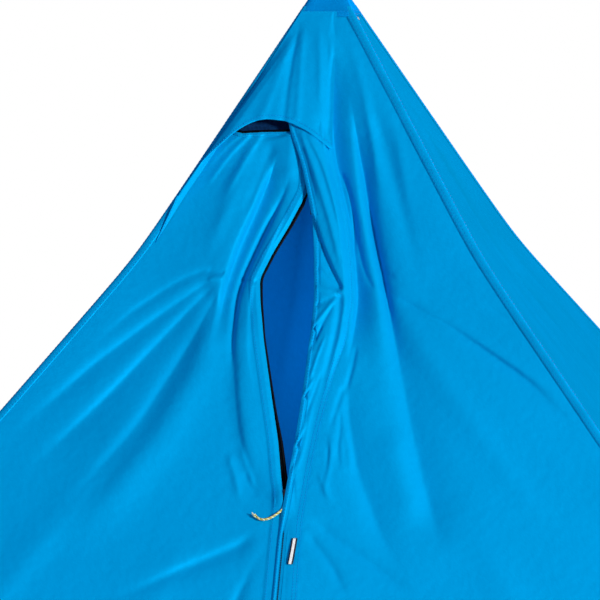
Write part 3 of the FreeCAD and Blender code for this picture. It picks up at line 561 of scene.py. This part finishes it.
# painted shade: the side walls get the shell nylon in a darker copy, so they look less lit
shaded_side_cloth = nylon("shaded_side_nylon", (0, .235, .46), .55, (7, .03), (95, .0006), weave_deep=.00002,
                   rough_range=.06)
shell = nylon("shell_nylon", (0, .342, .690), .55, (7, .03), (95, .0008), weave_deep=.00002, rough_range=.06)
hem_cloth = nylon("hem_nylon", (0, .335, .68), .45, (30, .07), (420, .0003))
cap_cloth = nylon("cap_nylon", (0, .25, .62), .5, (30, .08), (350, .0003), weave_pitch=.0012,
                  weave_deep=.00004)
ridge_cloth = nylon("ridge_nylon", (0, .31, .62), .46, (26, .07), (300, .0003))
black_tape = make("black_tape", (.002, .0025, .004), .9, gloss=.05, marks=(90, .2), weave_pitch=.0009,
                  weave_deep=.00012, grain=(900, .0001))
# the dark vent mesh; its blue is painted shade, the shaded inside of the tent seen through the mesh
mesh_and_painted_shade = make("mesh_cloth", (.001, .030, .110), .8, gloss=.1, marks=(120, .25), weave_pitch=.0016,
                weave_deep=.0003, grain=(900, .0001))
webbing = make("webbing", (.010, .011, .014), .75, gloss=.2, marks=(60, .2), weave_pitch=.0022,
               weave_deep=.0003, grain=(900, .0001))
white_thread = make("white_thread", (.92, .90, .84), .7, gloss=.2, marks=(400, .1), weave_pitch=.0008,
                    weave_deep=.0001, grain=(1500, .00004))
thread = make("thread", (0, .235, .60), .6, gloss=.2, marks=(300, .15), grain=(2500, .00003))
dark_thread = make("dark_thread", (.01, .012, .02), .6, gloss=.2, marks=(300, .15), grain=(2500, .00003))
olive_strand = make("cord_olive", (.48, .42, .06), .75, gloss=.15, marks=(700, .25), grain=(2600, .00008),
                    sheen=.2)
white_strand = make("cord_white", (.80, .78, .45), .75, gloss=.15, marks=(700, .2), grain=(2600, .00008),
                    sheen=.2)
coil_mat = make("coil_nylon", (.003, .003, .004), .6, gloss=.12, marks=(200, .2), grain=(1500, .00002))
zip_metal = make("zip_metal", (.014, .015, .020), .38, gloss=.5, marks=(500, .2), grain=(1800, .00003),
                 rough_range=.12)
pin_steel = make("pin_steel", (.50, .50, .51), .28, metal=1, gloss=.5, marks=(260, .08), grain=(1200, .00002),
                 rough_range=.1)
tube_metal = make("tube_anodised", (.40, .41, .43), .34, metal=1, gloss=.5, marks=(40, .05),
                  grain=(1400, .00002))
moulded = make("moulded_plastic", (.020, .021, .024), .48, gloss=.45, marks=(130, .12), grain=(900, .00008))
cup_plastic = make("cup_plastic", (.03, .032, .036), .55, gloss=.4, marks=(130, .12), grain=(900, .00008))
lever_plastic = make("lever_plastic", (.05, .20, .35), .42, gloss=.45, marks=(130, .1), grain=(900, .00006))
rubber = make("tip_rubber", (.012, .012, .013), .82, gloss=.25, marks=(120, .2), grain=(700, .0002))


def finish_nodes(finish, *starts):
    """Gives a finish to the shown CAD pieces whose names start so."""
    for node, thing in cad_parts.items():
        if node.startswith(starts):
            thing.data.materials.clear()
            thing.data.materials.append(finish)


finish_nodes(moulded, "apex_hub", "leg_yoke", "clamp_body")
finish_nodes(cup_plastic, "peak_cup")
finish_nodes(lever_plastic, "clamp_lever")
finish_nodes(rubber, "foot_tip")
finish_nodes(tube_metal, "upper_tube", "lower_tube")
finish_nodes(pin_steel, "hub_pin", "lever_pin")
finish_nodes(zip_metal, "lower_slider", "lower_outer", "lower_inner",
             "upper_slider", "upper_outer", "upper_inner")
finish_nodes(coil_mat, "zip_top_stop", "zip_bottom_stop")
finish_nodes(webbing, "corner_loop")

# -------------------- front walls

low_rows = np.linspace(0, .70, 52, endpoint=False)
mid_rows = np.linspace(.70, 1.0, 100, endpoint=False)
top_rows = np.linspace(1.0, LEVEL_TOP, 100)
across = 1 - (1 - np.linspace(0, 1, 190)) ** 1.35
rows = np.r_[low_rows, mid_rows, top_rows]
last = np.linspace(0, 1, 46)[1:]

# left half: from the ridge to the zip, and up to the trimmed edge of the vent
z = level(rows, len(across))
x = -wall(z) + (lip(z) + wall(z)) * across
for q in last:
    h = np.full(len(across), LEVEL_TOP + .08 * q)
    for _ in range(3):
        xs = -wall(h) + (lip(h) + wall(h)) * across
        h = LEVEL_TOP + (left_top(xs) - LEVEL_TOP) * q
    x, z = np.vstack([x, xs]), np.vstack([z, h])
left_sheet = grid("front_left_sheet", roll(front(x, z, left_relief(x, z)), "right", .0010, .009), shell)
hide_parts("front_left_panel")

# right half: from the storm flap to the ridge
rows_right = np.r_[rows, np.linspace(LEVEL_TOP, TOP, 108)[1:]]
z = level(rows_right, len(across))
start_x = np.maximum(flap_left(z) + .006, .007) * ease(1.33, 1.28, z)
x = wall(z) + (start_x - wall(z)) * across
x, z = x[:, ::-1], z[:, ::-1]
right_sheet = grid("front_right_sheet", front(x, z, right_relief(x, z)), shell)
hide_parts("front_right_panel", "door_panel")

# -------------------- storm flap

flap_rows = np.r_[np.linspace(.012, .70, 58, endpoint=False), np.linspace(.70, 1.30, 240)]
u = np.linspace(0, 1, 52)
z = level(flap_rows, len(u))
x = flap_left(z) + (flap_right(z) - flap_left(z)) * u
flap = grid("storm_flap_sheet", roll(front(x, z, flap_relief(x, z)), "left", .0009, .008), shell)
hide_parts("storm_flap", "storm_flap_top")


def flap_row(x, z, proud=.0002):
    """Points just above the storm flap."""
    return front(x, z, flap_relief(x, z) + proud)


def heights(a, b, step=.004):
    """Close-set heights from a to b."""
    return np.arange(a, b, step)


h = heights(.02, 1.285)
rows_of = [seam(flap_row(flap_left(h) + .0034, h), OUT)]
h = heights(.02, 1.035)
for inset in (.0012, .0055):
    rows_of.append(seam(flap_row(flap_right(h) - inset, h), OUT))
h = heights(1.035, ZIP_TOP)
rows_of.append(seam(flap_row(flap_right(h) - .0012, h), OUT))
tack = curve([(.0395 + .0055 * (k % 2), 1.1035 - .0013 * (k // 2)) for k in range(6)], .003)
rows_of.append(seam(flap_row(tack[:, 0], tack[:, 1], .0003), OUT, .0012, .0011))
flap_thread = join("flap_stitches", rows_of, thread)

# -------------------- left lip: hem stitching, tape and coil

h = heights(.02, 1.27)
xs = lip(h) - .0092
lip_thread = join("lip_stitches", [seam(front(xs, h, left_relief(xs, h) + .0002), OUT)], thread)

h = heights(.012, 1.285)
over = np.interp(h, [0, .881, .889, .92, .97, 1.05, 1.12, 1.20, 1.212],
                 [.0006, .0006, .0078, .0065, .0034, .0022, .0036, .0052, .0024])
xs = lip(h)[:, None] + np.stack([np.full(len(h), v) for v in (-.016, -.010, -.004, 0)] + [over], 1)
zs = level(h, xs.shape[1])
tape_out = np.minimum(left_relief(np.minimum(xs, lip(zs) - .0005), zs), .004) - TAPE_BEHIND
left_tape = grid("zip_tape_left_strip", roll(front(xs, zs, tape_out), "right", .0004, .003), black_tape)
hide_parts("zip_tape_left")

COIL_PITCH = .0009


def coil(name, centre_x, h, out):
    """One side of a coil zip: close-set nylon turns on the edge of its tape."""
    rings, a = [], np.arange(8) * math.pi / 4
    for i, (cx, cz, stand_off) in enumerate(zip(centre_x, h, out)):
        r = .00115 if i % 2 else .00078
        rings.append(np.stack([cx + r * 1.15 * np.cos(a), -(wall(cz) + stand_off) + r * np.sin(a),
                               np.full(8, cz)], 1))
    return piece(name, np.concatenate(rings), quads(len(rings), 8, wrap=True), coil_mat)


h = heights(.022, ZIP_TOP, COIL_PITCH)
over = np.interp(h, [0, .881, .889, .97, 1.05, 1.12, 1.20, 1.212],
                 [.0002, .0002, .0066, .0028, .0014, .0028, .0044, .0020])
left_coil = coil("zip_coil_left_strip", lip(h) + over, h, left_relief(lip(h) - .0005, h) - COIL_BEHIND)
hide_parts("zip_coil_left")


def right_edge(z):
    """Edge of the right half's zip tape, under the storm flap."""
    return np.maximum(flap_left(z) + .002, .0036)


h = heights(.024, ZIP_TOP)
xs = right_edge(h)[:, None] + np.array([0, .004, .008, .013])
zs = level(h, xs.shape[1])
tape_p = front(xs, zs, right_relief(xs, zs) - TAPE_BEHIND)
right_tape = grid("door_tape_strip", roll(tape_p, "left", .0004, .003), black_tape)
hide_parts("door_tape", "zip_tape_right")
h = heights(.026, ZIP_TOP, COIL_PITCH)
edge = right_edge(h) - .0010
right_coil = coil("door_coil_strip", edge, h, right_relief(edge, h) - COIL_BEHIND)
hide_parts("door_coil", "door_coil_upper", "zip_coil_right")

# -------------------- side and back walls

side_rows = np.r_[np.arange(0, .9, .02), np.arange(.9, TOP, .008)]
side_across = np.linspace(-1, 1, 141)
walls = []


def side_relief(x, z, table):
    """How far a side or back wall stands out."""
    billow = -.006 * np.cos(x / wall(z) * math.pi / 2) * ease(0, .3, z)
    return ((folds(x, z, table) + billow + .0014 * crinkle(x + .7, z)) * ease(0, .07, wall(z) - np.abs(x))
            * ease(0, .08, z))


def turned(p, turn):
    """Points or a direction on the front, turned about the peak, in degrees, to another side."""
    c, s = math.cos(math.radians(turn)), math.sin(math.radians(turn))
    return np.stack([c * p[..., 0] - s * p[..., 1], s * p[..., 0] + c * p[..., 1], p[..., 2]], -1)


# the left and right walls wear the darker copy of the shell nylon, which is painted shade
for name, node, turn, finish in (("left_sheet", "left_panel", -90, shaded_side_cloth),
                                 ("right_sheet", "right_panel", 90, shaded_side_cloth),
                                 ("back_sheet", "back_panel", 180, shell)):
    table = []
    for k in range(9):
        reach = -1 + 2 * (k + .5) / 9 + rng.uniform(-.08, .08)
        top = 1.40 - .05 * rng.random()
        low = rng.uniform(.25, .8)
        path = [(reach * wall(v) * (.55 + .45 * (1.4 - v) / 1.4) * .9, v) for v in np.linspace(top, low, 7)]
        high = rng.uniform(1.6, 4.2) * rng.choice((-1, 1, 1))
        table.append((path, high, rng.uniform(8, 22), rng.uniform(10, 30), .2, .5))
    for k in range(10):
        side = rng.choice((-1, 1))
        a = rng.uniform(.15, 1.05)
        path = [(side * wall(a) * f, a - d) for f, d in ((.97, 0), (.8, .03), (.6, .075), (.42, .13))]
        table.append((path, rng.uniform(.8, 2.2), rng.uniform(5, 12), rng.uniform(5, 12), .1, .5))
    z = level(side_rows, len(side_across))
    x = wall(z) * side_across
    sheet = grid(name, turned(front(x, z, side_relief(x, z, table)), turn), finish)
    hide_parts(node)
    walls.append(sheet)

# -------------------- ridge seams, hems and peak

h = np.arange(.002, TOP, .01)
w = wall(h)
# half of the ridge tape's section: distance in from the ridge, and out from the wall
halfway = ((.010, .0004), (.0094, .0012), (.005, .0014), (.0012, .0016), (0, .0011))
ridges = []
for corner, sx, sy in (("fl", -1, -1), ("fr", 1, -1), ("br", 1, 1), ("bl", -1, 1)):
    cols = [np.stack([sx * (w - d), sy * (w + o), h], -1) for d, o in halfway]
    cols += [np.stack([sx * (w + o), sy * (w - d), h], -1) for d, o in halfway[::-1]]
    band = grid("ridge_seam_" + corner, np.stack(cols, 1), ridge_cloth, flip=(sx * sy < 0))
    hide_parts("ridge_tape_" + corner)
    rows_of = []
    for d in (.0035, .0078):
        inside, proud = w - d, w + .0016
        rows_of.append(seam(np.stack([sx * inside, sy * proud, h], -1), (0, sy * .78, .62), .005, .0032))
        rows_of.append(seam(np.stack([sx * proud, sy * inside, h], -1), (sx * .78, 0, .62), .005, .0032))
    ridges += [band, join("ridge_stitches_" + corner, rows_of, thread)]

# section of the hem binding: heights, and how far it stands out there
hem_z = np.array([0.0, .0012, .006, .0125, .0140])
hem_out = np.array([.0008, .0016, .0018, .0015, .0004])


def hem_strip(a, b, turn):
    """The binding along the foot of one side. A whole or half side ends on the ridge line."""
    xs = np.linspace(a, b, max(3, int(abs(b - a) / .02)))
    x = np.broadcast_to(xs, (len(hem_z), len(xs)))
    if abs(a) > 1 and abs(b) > 1:
        x = x * (wall(hem_z)[:, None] / wall(0))
    return turned(front(x, level(hem_z, len(xs)), level(hem_out, len(xs))), turn)


def level_row(xs, z, out, turn, stitch, facing=STITCH_OUT):
    """A level row of stitches on one side. stitch is its pitch, length and thickness."""
    return seam(turned(front(xs, np.full(len(xs), z), out), turn), turned(np.array(facing), turn), *stitch)


hem_parts = [hem_strip(-HALF_SIDE, -.0045, 0)] + [hem_strip(-1.1221, 1.1221, t) for t in (90, 180, -90)]
hem = join("hem_band", [(p, quads(*p.shape[:2])) for p in hem_parts], hem_cloth)
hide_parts("hem_binding")
hem_door = grid("door_hem_band", hem_strip(.0045, HALF_SIDE, 0), hem_cloth)
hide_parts("door_hem")
hem_row, hem_proud, hem_stitch = .0108, .0018, (.006, .004, .0005)
rows_of = [level_row(np.linspace(a, b, 200), hem_row, hem_proud, turn, hem_stitch)
           for a, b, turn in ((-1.11, -.008, 0), (-1.11, 1.11, 90), (-1.11, 1.11, 180), (-1.11, 1.11, -90))]
hem_thread = join("hem_stitches", rows_of, thread)
door_row = level_row(np.linspace(.01, 1.11, 200), hem_row, hem_proud, 0, hem_stitch, OUT)
door_hem_thread = join("door_hem_stitches", [door_row], thread)

# cap: a tapered cloth cap with rounded corners over the peak
a = np.arange(64) * 2 * math.pi / 64
rings = []
shoulder, squareness = 1.4475, 9.0
for v, grow, shrink in ((1.4195, .0004, 1), (1.4205, .0018, 1), (1.427, .0021, 1), (1.435, .0021, 1),
                        (1.442, .0019, 1), (shoulder, .0012, 1), (1.4500, 0, .90), (1.4511, 0, .66),
                        (1.4515, 0, .33), (1.4516, 0, .02)):
    half = (wall(min(v, shoulder)) + grow) * shrink
    r = half / (np.abs(np.cos(a)) ** squareness + np.abs(np.sin(a)) ** squareness) ** (1 / squareness)
    rings.append(np.stack([r * np.cos(a), r * np.sin(a), np.full(64, v)], -1))
cap = piece("peak_cap_cloth", np.concatenate(rings), quads(len(rings), 64, wrap=True), cap_cloth)
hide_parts("peak_cap")
rows_of = [level_row(np.linspace(-wall(v) + .002, wall(v) - .002, 40), v, .0022, turn, (.004, .0026))
           for turn in (0, 90, 180, -90) for v in (1.4225, 1.4262)]
cap_thread = join("cap_stitches", rows_of, thread)

# -------------------- roof vent

# the hood runs from the peak down to its brim, stands off in the middle and is sewn down at the right
HOOD_TOP = 1.426
brim = curve(BRIM, .0025, 10)
s = np.linspace(0, 1, len(brim))
v = np.linspace(0, 1, 110)
top_x = -wall(HOOD_TOP) + .0008 + (wall(HOOD_TOP) + .012) * s ** 1.1
stand = np.interp(s, [0, .06, .18, .34, .5, .66, .8, .9, 1],
                  [.0012, .0035, .0080, .0165, .0200, .0190, .0170, .0150, .0130])
x = top_x[None] + (brim[:, 0] - top_x)[None] * v[:, None]
z = HOOD_TOP + (brim[:, 1] - HOOD_TOP)[None] * v[:, None]
x = np.maximum(x, -wall(z) + .0006)
HOOD_FOLDS = [
    ([(-.030, 1.420), (-.036, 1.375), (-.039, 1.335), (-.040, 1.295)], -2.6, 3, 4, .1, 0, 1.7),
    ([(-.026, 1.417), (-.025, 1.356), (-.024, 1.296)], 1.6, 4, 4, .2, .05),
    ([(-.037, 1.403), (-.053, 1.344), (-.068, 1.297)], 1.8, 5, 7, .2, .05),
    ([(-.008, 1.421), (.000, 1.345), (.009, 1.284)], 1.6, 4, 5, .2, .1),
    ([(-.034, 1.40), (-.075, 1.33), (-.118, 1.265)], 1.4, 8, 10, .2, .2),
    ([(.004, 1.40), (.010, 1.34), (.015, 1.28)], -1.2, 3, 3, .2, .2),
]
hood_out = (.0032 + (stand[None] - .0032) * v[:, None] ** 1.15
            + folds(x, z, HOOD_FOLDS) * ease(0, .35, v[:, None]) + .0004 * crinkle(x, z + .3))
sewn = ease(.88, 1.0, s[None]) * (1 - .55 * ease(.90, 1.0, v[:, None]))
hood_out = hood_out * (1 - sewn) + (right_relief(x, z) + .0012) * sewn
hood_p = front(x, z, np.maximum(hood_out, .0006 + .0018 * ease(0, .1, s[None])))
hood = grid("vent_hood_sheet", roll(hood_p, "top", .0010, .008)[:, ::-1], shell)
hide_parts("vent_hood")
row = int(len(v) * .965)  # just above the brim
hood_thread = join("hood_stitches", [seam(hood_p[row] + np.array(OUT) * .0003, OUT, .0036, .0024)], thread)

# the sill of the vent: a blue hem below and a black binding above
xs = np.linspace(-.1085, -.020, 60)
zt = left_top(xs)
band = [front(xs, zt + dz, left_relief(xs, zt + dz) + out)
        for dz, out in ((-.0052, .0003), (-.0046, .0012), (-.0015, .0014), (-.0008, .0013), (-.0004, .0019),
                        (.0014, .0020), (.0020, .0008), (.0012, -.0010))]
trim = grid("vent_trim_band", np.stack(band, 0), hem_cloth)
trim.data.materials.append(black_tape)
hem_rows = 3
for i, f in enumerate(trim.data.polygons):
    f.material_index = int(i // (len(xs) - 1) >= hem_rows)
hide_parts("vent_trim")
trim_row = front(xs, zt - .0028, left_relief(xs, zt - .0028) + .0019)
trim_thread = join("trim_stitches", [seam(trim_row, OUT, .0034, .0022)], thread)

# the vent mesh is a solid sheet: its colour holds both the dark mesh and painted shade of the inside behind
# it
mesh_low, mesh_high = 1.276, 1.395
u = np.linspace(1, 0, 24)[None]
z = level(np.linspace(mesh_low, mesh_high, 20), 24)
x = -wall(z) * .985 * u
sag = -.0075 - .003 * np.sin(math.pi * u) * np.sin(math.pi * (z - mesh_low) / (mesh_high - mesh_low))
vent = grid("vent_mesh_sheet", front(x, z, sag), mesh_and_painted_shade)
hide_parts("vent_mesh")

# -------------------- small parts

PATCH_X, PATCH_Z = .085, 1.116
g = np.linspace(-.012, .012, 9)
gx, gz = np.meshgrid(g, g)
folded_rim = (np.abs(gx) > .0105) | (np.abs(gz) > .0105)
box_and_cross = ([(-.01, -.01), (.01, -.01), (.01, .01), (-.01, .01), (-.01, -.01)],
                 [(-.01, -.01), (.01, .01)], [(-.01, .01), (.01, -.01)])
patches = []
for word, side, relief in (("left", -1, left_relief), ("right", 1, right_relief)):
    x, z = side * PATCH_X + gx, PATCH_Z + gz
    cloth_p = front(x, z, np.minimum(relief(x, z), 0) - .0030 - .0006 * folded_rim)
    patch = grid("tieback_cloth_" + word, cloth_p, hem_cloth)
    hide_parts("tieback_patch_" + word)
    made = []
    for line in box_and_cross:
        q = curve(line, .002, 0)
        x, z = side * PATCH_X + q[:, 0], PATCH_Z + q[:, 1]
        made.append(seam(front(x, z, np.minimum(relief(x, z), 0) - .0036), OUT, .0026, .0018))
    patches += [patch, join("tieback_stitches_" + word, made, dark_thread)]

# the woven tab on the flap: a folded tape with a pale face and dark edges
line = curve([(.0162, .8340), (.0158, .8272), (.0152, .8204), (.0145, .8136), (.0138, .8068)], .0012, 2)
lift = np.interp(line[:, 1], [.8068, .813, .824, .8340], [.0016, .0018, .0014, .0006])
base = flap_relief(line[:, 0], line[:, 1])
profile = [(-.0033, .0002), (-.0029, .0010), (-.0016, .0012), (-.0008, .0012), (0, .0012), (.0008, .0012),
           (.0016, .0012), (.0029, .0010), (.0033, .0002)]
top = np.stack([front(line[:, 0] + dx, line[:, 1], base + lift + dy) for dx, dy in profile], 1)
under = np.stack([front(line[:, 0] + dx, line[:, 1], base + lift - .0006) for dx, dy in profile], 1)
n = 2 * len(profile)
tab_ends = [tuple(range(n))[::-1], tuple((len(line) - 1) * n + k for k in range(n))]
tab = piece("flap_tab_loop", np.concatenate([top, under[:, ::-1]], 1),
            quads(len(line), n, wrap=True) + tab_ends, white_thread)
tab.data.materials.append(dark_thread)
for f in tab.data.polygons:
    corners = [tab.data.vertices[k].co for k in f.vertices]
    if max(abs(c.x - np.interp(c.z, line[::-1, 1], line[::-1, 0])) for c in corners) > .0019:
        f.material_index = 1
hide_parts("flap_tab")

# -------------------- pull cord

# from the hole of the pull to the knot
ROUTE = [(0, -.42770, .86873), (0, -.43046, .86530), (-.0048, -.4345, .8612), (-.0115, -.4382, .8565),
         (-.0180, -.4398, .8538), (-.0245, -.4396, .8532), (-.0290, -.4382, .8548), (-.0315, -.4370, .8566)]
line = bpy.data.curves.new("pull_cord_line", "CURVE")
line.dimensions = "3D"
line.resolution_u = 24
spline = line.splines.new("NURBS")
spline.points.add(len(ROUTE) - 1)
for point, place in zip(spline.points, ROUTE):
    point.co = (*place, 1)
spline.order_u = 3
spline.use_endpoint_u = True
guide = bpy.data.objects.new("pull_cord_guide", line)
bpy.context.collection.objects.link(guide)
bpy.context.view_layer.update()
flat = bpy.data.meshes.new_from_object(guide)
path = np.array([v.co[:] for v in flat.vertices])
bpy.data.objects.remove(guide)
bpy.data.meshes.remove(flat)
s = measured(path)
u = np.linspace(0, s[-1], 150)
centre = points_at(path, s, u)
way = unit(np.gradient(centre, axis=0))
side = unit(np.cross(way, OUT))
other = np.cross(way, side)
strands = []
for k, finish in ((0, olive_strand), (1, white_strand)):
    a = u / .0052 * 2 * math.pi + k * math.pi
    wound = centre + .00072 * (np.cos(a)[:, None] * side + np.sin(a)[:, None] * other)
    strands.append(tube(wound, .00078))
cord = join("pull_cord_rope", strands, olive_strand)
cord.data.materials.append(white_strand)
half_faces = len(strands[0][1])
for i, f in enumerate(cord.data.polygons):
    f.material_index = int(i >= half_faces)
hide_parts("pull_cord")

# the knot at its end: snug turns, a strand across them, and two short tails
end, direction = centre[-1], way[-1]
e1 = unit(np.cross(direction, OUT))
e2 = np.cross(direction, e1)
a = np.linspace(0, 2 * math.pi * 2.6, 90)[:, None]
turns = tube(end + direction * (.0004 + .0024 * a / a[-1]) + .00115 * (np.cos(a) * e1 + np.sin(a) * e2),
             .00072)
t = np.linspace(-1, 1, 12)[:, None]
cross = tube(end + direction * .0016 + .0019 * t * (e1 * .8 + direction * .5)
             + .0012 * np.cos(1.4 * t) * np.array(OUT), .00070)
t = np.linspace(0, 1, 10)[:, None]
tails = [tube(end + direction * (.0016 + .0048 * t) + e2 * lean * t - np.array(OUT) * .0005 * t, .00062)
         for lean in (-.0016, .0014)]
knot = join("pull_cord_knot", [turns, cross] + tails, white_strand)
knot.data.materials.append(olive_strand)
olive_faces = len(turns[1]) * .55
for i, f in enumerate(knot.data.polygons):
    f.material_index = int(i < olive_faces)
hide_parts("cord_knot")

# -------------------- what moves with what

for thing in ([left_sheet, lip_thread, left_tape, left_coil, hem, hem_thread, cap, cap_thread, hood,
               hood_thread, trim, trim_thread, vent] + walls + ridges + patches):
    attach(thing, "canopy")
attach(cord, "lower_slider")
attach(knot, "lower_slider")
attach(tab, "door")
# the door half's pieces keep their places, with their transforms baked into their meshes
for thing in (right_sheet, flap, flap_thread, right_tape, right_coil, hem_door, door_hem_thread):
    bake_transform(thing)

# -------------------- floor and light

sides = 96
turn = np.arange(sides) * 2 * math.pi / sides
disc = [(0, 0)] + [(r * math.cos(t), r * math.sin(t)) for r in (2.0, 4.0, 5.4) for t in turn]
faces = [(0, 1 + j, 1 + (j + 1) % sides) for j in range(sides)]
faces += [tuple(1 + i for i in face[::-1]) for face in quads(3, sides, wrap=True)]
floor_mat = make("studio_floor", (.88, .82, .70), .85, gloss=.1, marks=(1.2, .015), grain=(60, .0004))
floor = piece("floor", [(px, py, -.0005) for px, py in disc], faces, floor_mat)

world = bpy.context.scene.world or bpy.data.worlds.new("studio")
bpy.context.scene.world = world
world.use_nodes = True
t = world.node_tree
t.nodes.clear()
seen, lit = t.nodes.new("ShaderNodeBackground"), t.nodes.new("ShaderNodeBackground")
seen.inputs["Color"].default_value, seen.inputs["Strength"].default_value = (1, 1, 1, 1), 1.0
lit.inputs["Color"].default_value, lit.inputs["Strength"].default_value = (.42, .56, 1, 1), .34
pick, mixer = t.nodes.new("ShaderNodeLightPath"), t.nodes.new("ShaderNodeMixShader")
out = t.nodes.new("ShaderNodeOutputWorld")
t.links.new(pick.outputs["Is Camera Ray"], mixer.inputs[0])
t.links.new(lit.outputs[0], mixer.inputs[1])
t.links.new(seen.outputs[0], mixer.inputs[2])
t.links.new(mixer.outputs[0], out.inputs[0])


def lamp(name, place, target, size, power, color=(1, 1, 1)):
    """A round lamp that faces its target."""
    data = bpy.data.lights.new(name, "AREA")
    data.shape, data.size, data.energy, data.color = "DISK", size, power, color
    thing = bpy.data.objects.new(name, data)
    bpy.context.collection.objects.link(thing)
    thing.location = place
    thing.rotation_mode = "QUATERNION"
    thing.rotation_quaternion = (Vector(target) - Vector(place)).to_track_quat("-Z", "Y")


lamp("key", (4.6, -4.4, 2.3), (0, 0, 1.05), 1.0, 435, (1, 1, .98))
lamp("fill", (-4.5, -4.2, 1.6), (0, 0, .9), 3.0, 24, (.7, .8, 1))
lamp("rear", (1.5, 4.6, 3.4), (0, 0, .8), 2.4, 160)
glow = bpy.data.lights.new("inside", "POINT")
glow.energy, glow.shadow_soft_size, glow.color = 4.2, .25, (.12, .44, .85)
glow_at = bpy.data.objects.new("inside", glow)
bpy.context.collection.objects.link(glow_at)
glow_at.location = (0, .1, .75)

bpy.context.scene.view_settings.view_transform = "Standard"
bpy.context.scene.view_settings.look = "None"
